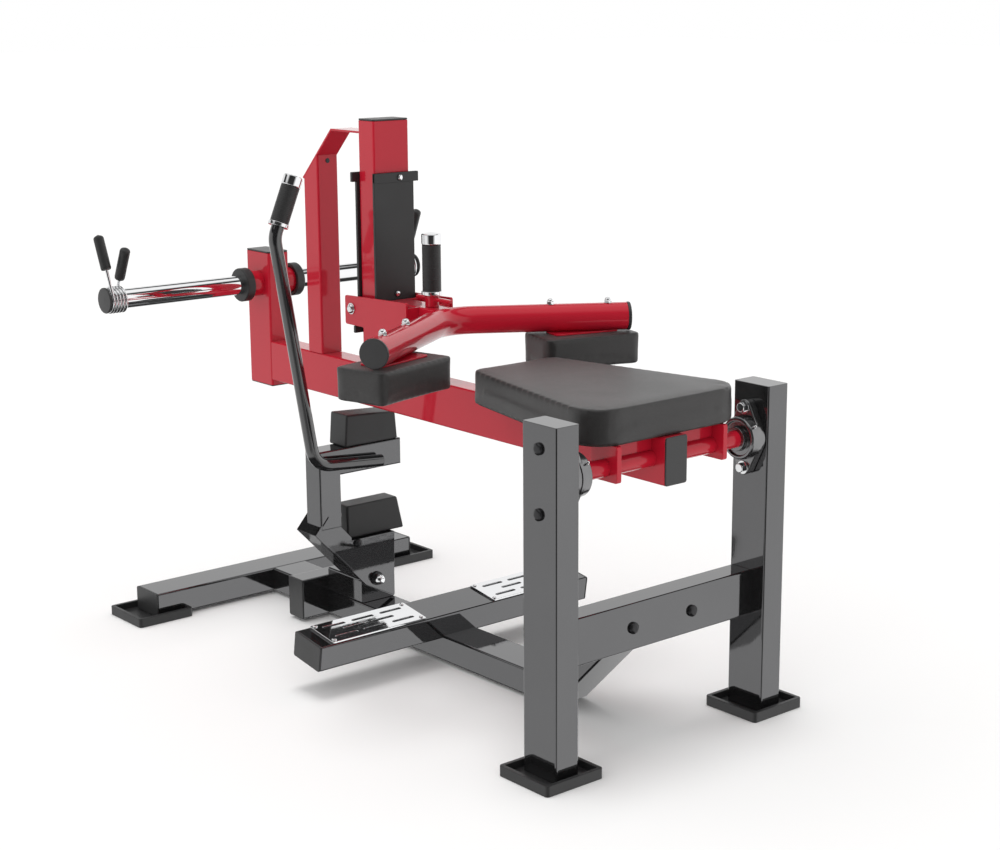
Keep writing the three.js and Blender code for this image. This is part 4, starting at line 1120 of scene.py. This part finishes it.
def collar(side, sign):
    """The left collar opens to -Y; the right one is the left one turned half round the vertical."""
    line, outer_up, inner_up = collar_line()
    turn = np.array([-sign, -sign, 1.0])
    place = horn_middle + [sign * (horn_end - wire_radius - collar_gap), 0, 0]
    wire = carried(line * turn + place, wire_radius, (1, 0, 0), 16)
    make(f"collar_wire_{side}", [wire], chrome, f"collar_{side}", [f"spring_collar_{side}"])
    sleeve = soft_profile([
        (0.0045, 0), (sleeve_radius - 0.001, 0), (sleeve_radius, 0.004),
        (sleeve_radius, sleeve_long - 0.006), (closed, sleeve_long),
    ], 0.005, 6)
    sleeves = []
    for end, heading in ((line[0], outer_up), (line[-1], inner_up)):
        foot = (end + heading * (wire_radius - sleeve_long)) * turn + place
        sleeves.append(turned(sleeve, foot, heading * turn, 48))
    make(f"collar_sleeves_{side}", sleeves, rubber, f"collar_{side}")


for side, sign in sides:
    collar(side, sign)
print("collars ready")

# %% [markdown]
# ## Shaft, bearings and their bolts
# The lever turns on a shaft in two flange bearings. Each casting is an oval flange with a turned
# boss, a bearing ring set into it, a grease nipple and two bolts that pass through the post.

# %% Bearings
shaft_y, shaft_z = 50, 612
shaft_profile = [(0.0180, -0.262), (0.0185, -0.2615), (0.0185, 0.2615), (0.0180, 0.262)]
shaft = turned(shaft_profile, row(0, shaft_y, shaft_z), (1, 0, 0))
make("shaft_bar", [shaft], red_enamel, "lever", ["pivot_shaft"])
bolt_spread, bolt_end, waist, flange_thick = 0.065, 0.016, 0.045, 0.020
flange_face = 263.7


def flange_outline(steps=24):
    """Two small circles and a large one, joined by their common tangents."""
    tangent = math.acos((waist - bolt_end) / bolt_spread)
    small = np.linspace(-tangent, tangent, steps)
    large = np.linspace(tangent, math.pi - tangent, steps)
    arcs = []
    for turn in (0, math.pi):
        arcs.append(on_circle(turn) * bolt_spread + bolt_end * on_circle(small + turn))
        arcs.append(waist * on_circle(large + turn))
    return np.concatenate(arcs)


boss_profile = soft_profile([
    (0.047, 0.012), (0.0468, 0.021), (0.0455, 0.037), (0.0425, 0.040), (0.0372, 0.040),
    (0.0370, 0.035), (0.0262, 0.035), (0.026, 0.047), (0.0190, 0.047),
], 0.0016)


def bearing(sign):
    face = row(sign * flange_face, shaft_y, shaft_z)
    inwards = (-sign, 0, 0)
    middle = face + np.array(inwards) * flange_thick / 2
    across = ((0, 0, 1), (0, sign, 0))
    flange = eased_prism(flange_outline(), flange_thick, 0.0025, middle, inwards, across)
    return [flange, turned(boss_profile, face, inwards, 96)]


pair("bearing", bearing, cast_iron, "base", "bearing_housing", 45)
print("bearings ready")

# %% [markdown]
# ### Bolts
# Small heads are all made by one function: a profile turned about the bolt's axis, with six flats
# pressed into it where it takes a spanner.

# %% Heads of bolts, nuts and screws


def hexagon(profile, middle, axis, flats):
    """Turns the profile, and pulls its points outside the six flats, flats / 2 away, onto them."""
    points, faces = turned(profile, middle, axis, 48)
    axis, side, top = square_to(axis)
    local = points - middle
    u, v, w = local @ side, local @ top, local @ axis
    turn = np.arctan2(v, u)
    sector = (turn + np.pi / 6) % (np.pi / 3) - np.pi / 6
    limited = np.minimum(np.hypot(u, v), flats / 2 / np.cos(sector))
    u, v = limited * np.cos(turn), limited * np.sin(turn)
    return middle + u[:, None] * side + v[:, None] * top + w[:, None] * axis, faces


def washer(middle, axis, hole, radius, tall, soft, steps=2):
    return disc(middle, axis, hole, radius, 0, tall, soft, steps, 40)


def round_head(middle, axis, radius, tall):
    """Pan head: a straight side and a domed top."""
    side = [(radius * 0.9, 0), (radius, 0), (radius, tall * 0.6)]
    profile = side + [(radius * 0.55, tall), (closed, tall)]
    return turned(soft_profile(profile, tall * 0.35, 5), middle, axis, 36)


hex_corner = 0.577  # radius of a hexagon's corners over its width across flats


def dome_nut(middle, axis, flats, tall):
    """Acorn nut: six flats below a dome, on a thin washer."""
    r, crown = flats * hex_corner, flats * 0.44
    nut = [(r * 0.9, 0.0012), (r, 0.0016), (r, tall * 0.45), (crown, tall * 0.55)]
    turn = np.linspace(0.05, np.pi / 2 - 0.04, 10)
    dome = np.stack([crown * np.cos(turn), tall * 0.55 + tall * 0.45 * np.sin(turn)], -1)
    body = hexagon(np.concatenate([soft_profile(nut, 0.0006, 3), dome]), middle, axis, flats)
    return [body, washer(middle, axis, r * 0.8, r * 1.02, 0.0012, 0.0003)]


def hex_head(middle, axis, flats, tall):
    """Hexagon head with a chamfered top, on a washer."""
    r = flats * hex_corner
    profile = [(r, 0.0022), (r, tall * 0.85), (flats * 0.46, tall), (closed, tall)]
    body = hexagon(soft_profile(profile, 0.0008, 3), middle, axis, flats)
    return [body, washer(middle, axis, r * 0.8, r * 1.3, 0.0022, 0.0005)]


print("heads ready")

# %% Bolts on the frame and the lever
bolt_heights = (shaft_z + bolt_spread * 1000, shaft_z - bolt_spread * 1000)
post_side, flange_side = 324, flange_face - flange_thick * 1000
frame_head = (0.0125, 0.008)


def post_bolts(sign):
    places = [row(sign * post_side, shaft_y, z) for z in bolt_heights]
    return [round_head(place, (sign, 0, 0), *frame_head) for place in places]


def bearing_nuts(sign):
    places = [row(sign * flange_side, shaft_y, z) for z in bolt_heights]
    return [shell for place in places for shell in hex_head(place, (-sign, 0, 0), 0.019, 0.013)]


def tread_screws(sign):
    """Pan heads at the four corners of the tread plate, square to the tilted plate."""
    up = (0, -math.sin(bar_tilt), math.cos(bar_tilt))
    corners = [(dx, dy) for dx in (-0.121, 0.121) for dy in (-0.0375, 0.0375)]
    local = np.array([[sign * tread_middle + dx, dy, 0.0343] for dx, dy in corners])
    return [round_head(place, up, 0.0055, 0.003) for place in tipped((local, None))[0]]


pair("post_bolts", post_bolts, black_oxide, "base")
pair("bearing_nuts", bearing_nuts, chrome, "base")
cross_bolts = [round_head(row(x, 37, 268), (0, -1, 0), *frame_head) for x in (-84, 84)]
make("cross_tube_bolts", cross_bolts, black_oxide, "base")
screws, seats = [], []
screw_places = [
    (16, 932.3, 1106, -1), (4, 933.7, 837, -1), (-16, 1010.3, 1105, 1), (-4, 1010.3, 837, 1),
]
for x, y, z, way in screw_places:
    place, axis = row(x, y, z), (0, way, 0)
    screws.append(round_head(place, axis, 0.0065, 0.0045))
    seats.append(washer(place, axis, 0.00663, 0.00845, 0.0016, 0.0004))
make("guide_screws", screws, chrome, "lever")
make("guide_screw_seats", seats, black_oxide, "lever")
nuts = []
for x in (-319, -206, 206, 319):
    nuts += dome_nut(on_v(x, v_z + v_radius - 0.4), (0, 0, 1), 0.0165, 0.0135)
make("pad_nuts", nuts, chrome, "carriage")
pair("tread_screws", tread_screws, chrome, "base")
nipple_profile = soft_profile([
    (0.0036, 0.044), (0.0036, 0.050), (0.0020, 0.052), (0.0028, 0.054), (0.0010, 0.0555),
    (closed, 0.0556),
], 0.0005, 3)
nipple_x, nipple_way = 235, (0, -0.8, 0.6)
pair("grease_nipple", lambda sign: [
    turned(nipple_profile, row(sign * nipple_x, shaft_y, shaft_z), nipple_way, 24),
], chrome, "base")
foot_low = post_low + [0.001, 0.001, -0.0025]
foot_high = [post_high[0] - 0.001, post_high[1] - 0.001, post_low[2] + 0.001]
make("weight_post_foot_plug", [bar(foot_low, foot_high, "z", 0.004, 0.0008)], plastic, "lever")
print("small fasteners ready")

# %% [markdown]
# ## Feet
# A foot is a rubber tray: the post stands in its pocket. Its rings run up the outer side, over the
# rim and down to the floor of the pocket.

# %% Rubber trays
foot_side, foot_corner = 149.0, 8.0
foot_levels = [
    (1.5, 0), (0.4, 0.4), (0, 1.5), (0, 21.2), (0.6, 22.5), (1.9, 23), (8.2, 23), (9.4, 22.5),
    (10, 21.2), (10, 7.6), (10.6, 7),
]


def stacked(outline_at, levels):
    """One ring of outline_at(inset) for each (inset, height) of levels."""
    flats = [(outline_at(inset), height) for inset, height in levels]
    return np.stack([np.column_stack([flat, np.full(len(flat), height)]) for flat, height in flats])


def tray_outline(inset):
    side = foot_side - 2 * inset
    return tube_outline(side, side, max(foot_corner - inset, 2.0))


def tray(x, y):
    rings = stacked(tray_outline, foot_levels)
    return lambda sign: [ring_shell((rings + [sign * x, y - rear_face, 0]) / 1000)]


pair("rear_tray", tray(294, 50), rubber, "base", "rear_foot")
pair("front_tray", tray(380, 1471), rubber, "base", "front_foot")
print("feet ready")

# %% [markdown]
# ## Flat parts of the lever
# Gussets, guide plates and the plate of the brace are cut from flat stock, so each is an outline
# with a thickness. The brace is a square tube cut at forty-five degrees under its plate.

# %% Gussets, brace and guide plates
lever_top, fin_bottom, web_bottom = 660.0, 585, 628.6
fin_points = [(12, fin_bottom), (88, fin_bottom), (88, lever_top), (12, lever_top)]
web_points = [(46, web_bottom), (54, web_bottom), (54, lever_top), (46, lever_top)]


def side_plate(points, sign, near, far, corner, ease):
    """A plate on one side of the middle, from near to far of it."""
    return cut_plate(points, *sorted((sign * near, sign * far)), "x", corner, ease)


def gusset(sign):
    """An upright fin round the shaft, and a web that ties it to the beam."""
    fin = side_plate(fin_points, sign, 143.0, 155.0, 6.0, 1.0)
    return [fin, side_plate(web_points, sign, 30.0, 143.5, 0.6, 0.4)]


pair("gusset", gusset, red_enamel, "lever", "pivot_gusset")
brace_rear, brace_front, brace_low = 1200.0, 1260.0, 1082.0


def brace_shell():
    """Upright square tube whose top ring slopes: z = brace_low + brace_front - y."""
    side = brace_front - brace_rear
    flat = tube_outline(side, side, tube_corner) + [0, (brace_rear + brace_front) / 2]
    heights = [np.full(len(flat), lever_top + 0.3), brace_low + brace_front - flat[:, 1]]
    rings = [np.column_stack([flat[:, 0], flat[:, 1] - rear_face, height]) for height in heights]
    return ring_shell(np.stack(rings) / 1000)


guide_rear_y, guide_front_y, guide_thick = 933.7, 1002.3, 8
guide_half, guide_ear, guide_low, guide_high, ear_low = 56, 69, 743, 1118, 1095.5
plate_low, plate_bend = brace_low + 0.42, 1139.0
plate_high = plate_low + brace_front - plate_bend
brace_line = [(guide_front_y, plate_high), (plate_bend, plate_high), (brace_front, plate_low)]
make("brace_tube", [brace_shell()], red_enamel, "lever", ["brace_post"])
strap = cut_plate(strip(brace_line, 5.0), -30, 30, "x", 0.8, 0.8)
make("brace_strap", [strap], red_enamel, "lever", ["brace_plate"])

rear_guide = [
    (-guide_half, guide_low), (guide_half, guide_low), (guide_half, ear_low), (guide_ear, ear_low),
    (guide_ear, guide_high), (-guide_half, guide_high),
]
guide_head = [
    (-guide_half, ear_low), (guide_ear, ear_low), (guide_ear, guide_high),
    (-guide_half, guide_high),
]
front_guide = [
    (guide_half, guide_low), (-guide_ear, guide_low), (-guide_ear, 759.7), (-guide_half, 759.7),
    (-guide_half, ear_low), (-guide_ear, ear_low), (-guide_ear, guide_high),
    (guide_half, guide_high),
]
guides = [
    ("rear", [(rear_guide, guide_rear_y, guide_rear_y + guide_thick), (guide_head, 932.3, 940)]),
    ("front", [(front_guide, guide_front_y, guide_front_y + guide_thick)]),
]
for name, plates in guides:
    shells = [cut_plate(*plate, "y", 1.5, 1.0) for plate in plates]
    make(f"guide_{name}", shells, slide_plastic, "lever", [f"guide_plate_{name}"])
# A thin black disc stands where the brace has a hole: its darkness is painted shade, not a real plug.
hole_shade_disc = round_head(row(0, brace_rear, 1128), (0, -1, 0), 0.006, 0.0010)
make("brace_hole_shade_disc", [hole_shade_disc], black_oxide, "lever")
print("lever plates ready")

# %% [markdown]
# ## Carriage
# The neck is a tube between two side plates. It carries the thigh tube behind and the grip on
# top, and two webs tie the side plates to it. One bolt behind the guide plate keeps the carriage
# upright.

# %% Neck, side plates, bolt and release bar
neck_shells = [bar(row(-30, 746, 770), row(30, 922.7, 824), "y", 0.004, 0.001)]
for web_rear in (808.0, 917.7):
    web_low, web_high = row(-61.4, web_rear, 790), row(61.4, web_rear + 10, 823.8)
    neck_shells.append(bar(web_low, web_high, "x", 0.0008, 0.0005))
make("neck_welded", neck_shells, red_enamel, "carriage", ["carriage_neck"])
cheek_points = [(1045, 828.4), (806, 837), (806, 786.2), (972, 729), (972, 760), (1045, 760)]
pair("cheek", lambda sign: [
    side_plate(cheek_points, sign, 61.6, 67.6, 7.0, 0.9),
], red_enamel, "carriage", "carriage_cheek")
bolt_middle = row(0, 1018.6, 799)
rod_profile = [(0.0078, -0.0675), (0.008, -0.067), (0.008, 0.067), (0.0078, 0.0675)]
rod = turned(rod_profile, bolt_middle, (1, 0, 0), 40)
make("bolt_rod", [rod], chrome, "carriage", ["carriage_bolt"])
bolt_ends = [(bolt_middle + [sign * 0.0679, 0, 0], (sign, 0, 0)) for _, sign in sides]
make("bolt_domes", [round_head(*end, 0.0112, 0.0085) for end in bolt_ends], chrome, "carriage")
washers = [washer(*end, 0.0104, 0.0135, 0.0022, 0.0008, 3) for end in bolt_ends]
make("bolt_washers", washers, chrome, "carriage")
release_bar = bar(*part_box("release_lever"), "y", 0.003, 0.002)
make("release_bar", [release_bar], red_enamel, "release", ["release_lever"])
print("carriage ready")

# %% [markdown]
# ## Catch
# The back plate has a deep flange along its two outer edges and a ledge for the lower bumper. The
# post with its arm is one bent tube. Both bumpers are blocks of solid rubber.

# %% Stand, bumpers and pivot bolt
stand_points = [
    (-147.9, 308), (-185, 265.5), (-41.2, 114.5), (42.4, 72), (47, 234.8), (-80.6, 234.8),
    (-80.6, 241.9), (-113.1, 277.3), (-107.3, 308),
]
shoulder, corner, toe, _, ledge_right, ledge_left = np.array(stand_points[:6])
flange_line = [shoulder, corner, corner + (toe - corner) * 0.87]
post_points = [(-169, 272), (-107, 272), (-107, 402), (71, 402), (71, 466), (-169, 466)]
fold_thick, stand_thick, flange_deep, ledge_deep, post_deep = 5.0, 7.5, 80, 50, 60
ledge_low = row(ledge_left[0], catch_y, ledge_right[1] - fold_thick)
ledge_high = row(ledge_right[0], catch_y + ledge_deep, ledge_right[1])
make("stand_welded", [
    cut_plate(stand_points, catch_y + 0.4, catch_y + stand_thick, "y", 1.5, 0.8),
    cut_plate(strip(flange_line, fold_thick), catch_y, catch_y + flange_deep, "y", 0.8, 0.8),
    bar(ledge_low, ledge_high, "y", 0.001, 0.0008),
    cut_plate(post_points, catch_y, catch_y + post_deep, "y", 1.0, 5.0),
], graphite, "catch", ["catch_stand"])
bumpers = [
    ("upper", [(-93, 466.3), (62, 466.3), (56, 535), (-87, 544)]),
    ("lower", [(-83, 235.1), (85, 235.1), (66, 317), (-83, 317)]),
]
for name, points in bumpers:
    low, high = np.array(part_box(f"{name}_bumper"))[:, 1] * 1000 + rear_face
    rubber_block = cut_plate(points, low, high, "y", 5.0, 5.0)
    make(f"{name}_block", [rubber_block], rubber, "catch", [f"{name}_bumper"])
bumper_head = round_head(row(-64, 1022.6, 226), (0, -1, 0), 0.0100, 0.0100)
make("bumper_bolt", [bumper_head], black_oxide, "catch")

pivot_middle = row(-10, 1021.7, 126)
pivot_dome = round_head(pivot_middle - [0, 0.004, 0], (0, -1, 0), 0.0130, 0.020)
pivot_washer = disc(pivot_middle, (0, -1, 0), closed, 0.017, 0, 0.004, 0.0012)
pin_profile = [(0.0078, 0), (0.008, 0.0005), (0.008, 0.0195), (0.0078, 0.020)]
pivot_rod = turned(pin_profile, pivot_middle, (0, 1, 0), 40)
make("pivot_nut", [pivot_dome], chrome, "catch", ["catch_pivot_bolt"])
make("pivot_washer", [pivot_washer, pivot_rod], black_oxide, "catch")
print("catch ready")

# %% [markdown]
# ## Cushions
# The seat and the thigh pads are vinyl pulled over foam. Each starts as a crisp block a little
# smaller than the pad. Its surface is cut into even cells, held where it is stapled to the board,
# and blown up as cloth by a light pressure, with the movement of every point limited to the stretch
# that foam allows. Last, the cells are relaxed and divided once, which softens their steps.

# %% Pads as simulated cloth
puff_frames, puff_pressure = 20, 4.0
relax_factor, relax_rounds = 0.5, 4
seat_cell, seat_stretch = 0.0050, 0.0013
thigh_cell, thigh_stretch = 0.0045, 0.0012


def pad_ring(corners, inset, steps=8):
    """Each corner (x, y, round) becomes an arc: centre + (round - inset) * (cos t, sin t)."""
    at = np.array(corners, float)
    edges = unit(at[:, :2] - np.roll(at[:, :2], 1, 0))
    start = np.stack([edges[:, 1], -edges[:, 0]], -1)
    finish = np.roll(start, -1, 0)
    cosine = (start * finish).sum(1)
    centres = at[:, :2] - (start + finish) * (at[:, 2] / (1 + cosine))[:, None]
    first = np.arctan2(start[:, 1], start[:, 0])[:, None]
    turn = first + np.arccos(np.clip(cosine, -1, 1))[:, None] * np.linspace(0, 1, steps + 1)
    arcs = on_circle(turn) * (at[:, 2] - inset)[:, None, None]
    return (centres[:, None] + arcs).reshape(-1, 2)


def set_at(shell, middle, turn=0.0):
    """Turns a shell about Z and sets its origin on middle, from millimetres to metres."""
    points, faces = shell
    c, s = math.cos(turn), math.sin(turn)
    return (points @ np.array([[c, s, 0], [-s, c, 0], [0, 0, 1]]) + middle) / 1000, faces


def settled(piece):
    """The mesh that the piece's modifiers make, as plain data."""
    graph = bpy.context.evaluated_depsgraph_get()
    return bpy.data.meshes.new_from_object(piece.evaluated_get(graph))


def puffed(piece, start, held, stretch):
    """Pressure from inside moves each point by d; it keeps d * min(1, stretch / |d|) of that."""
    group = piece.vertex_groups.new(name="stapled")
    group.add(np.flatnonzero(held(start[:, 2] * 1000)).tolist(), 1.0, "REPLACE")
    cloth = piece.modifiers.new("vinyl", "CLOTH")
    cloth.settings.vertex_group_mass = "stapled"
    cloth.settings.use_pressure = True
    cloth.settings.uniform_pressure_force = puff_pressure
    cloth.settings.effector_weights.gravity = 0.0
    for step in range(1, puff_frames + 1):
        bpy.context.scene.frame_set(step)
    moved = mesh_points(settled(piece)) - start
    piece.modifiers.clear()
    bpy.context.scene.frame_set(1)
    far = np.linalg.norm(moved, axis=1, keepdims=True)
    most = round(float(far.max()) * 1000, 1)
    print(piece.name, len(start), "points, largest movement", most, "mm before the limit")
    return start + moved * np.minimum(1.0, stretch / np.maximum(far, 1e-9))


def pad(name, shell, held, body, nodes, cell, stretch):
    """Even cells of one size; held(height) tells which points the vinyl is fixed at."""
    points, faces = shell
    mesh = bpy.data.meshes.new(name)
    mesh.from_pydata(points.tolist(), [], faces)
    piece = added(name, mesh)
    remesh = piece.modifiers.new("even_cells", "REMESH")
    remesh.mode = "VOXEL"
    remesh.voxel_size = cell
    piece.data = settled(piece)
    piece.modifiers.clear()
    start = mesh_points(piece.data)
    piece.data.vertices.foreach_set("co", puffed(piece, start, held, stretch).ravel())
    piece.data.materials.clear()
    piece.data.materials.append(vinyl)
    piece.data.shade_smooth()
    piece.data.update()
    relaxed = piece.modifiers.new("relaxed", "SMOOTH")
    relaxed.factor, relaxed.iterations = relax_factor, relax_rounds
    finer = piece.modifiers.new("finer", "SUBSURF")
    finer.levels = finer.render_levels = 1
    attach(piece, body)
    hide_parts(*nodes)


seat_corners = [(-226, 13, 68), (226, 13, 68), (118, 513, 28), (-118, 513, 28)]
seat_levels = [
    (8.7, 15.3), (8.7, 0.2), (3, 0), (1.4, 1), (1.2, 3), (1.2, 73.2), (1.6, 74.6), (3, 75), (8, 75),
]
seat_block = ring_shell(stacked(lambda inset: pad_ring(seat_corners, inset), seat_levels))
seat_shell = set_at(seat_block, [0, -rear_face, lever_top + 0.3])
staple_height = lever_top + 18
pad(
    "seat_cushion", seat_shell, lambda z: z < staple_height,
    "lever", ["seat_pad"], seat_cell, seat_stretch,
)

pad_long, pad_wide, pad_tall, pad_round = 240.0, 133.0, 73.0, 14.0
pad_top = pad_plate_top - pad_plate_thick - 0.3
quarters = (-1, -1), (1, -1), (1, 1), (-1, 1)
pad_corners = [(x * pad_long / 2, y * pad_wide / 2, pad_round) for x, y in quarters]
pad_levels = [(4, 1.2), (1.6, 2), (1.2, 4), (1.2, 70.5), (1.6, 72.2), (4, 73), (8, 73)]
pad_block = ring_shell(stacked(lambda inset: pad_ring(pad_corners, inset), pad_levels))
screwed_height = pad_top - 4
for side, sign in sides:
    middle = [sign * pad_x, pad_y - rear_face, pad_top - pad_tall]
    pad(
        f"thigh_cushion_{side}", set_at(pad_block, middle, -sign * pad_turn),
        lambda z: z > screwed_height, "carriage", [f"thigh_pad_{side}"], thigh_cell, thigh_stretch,
    )
print("cushions ready")
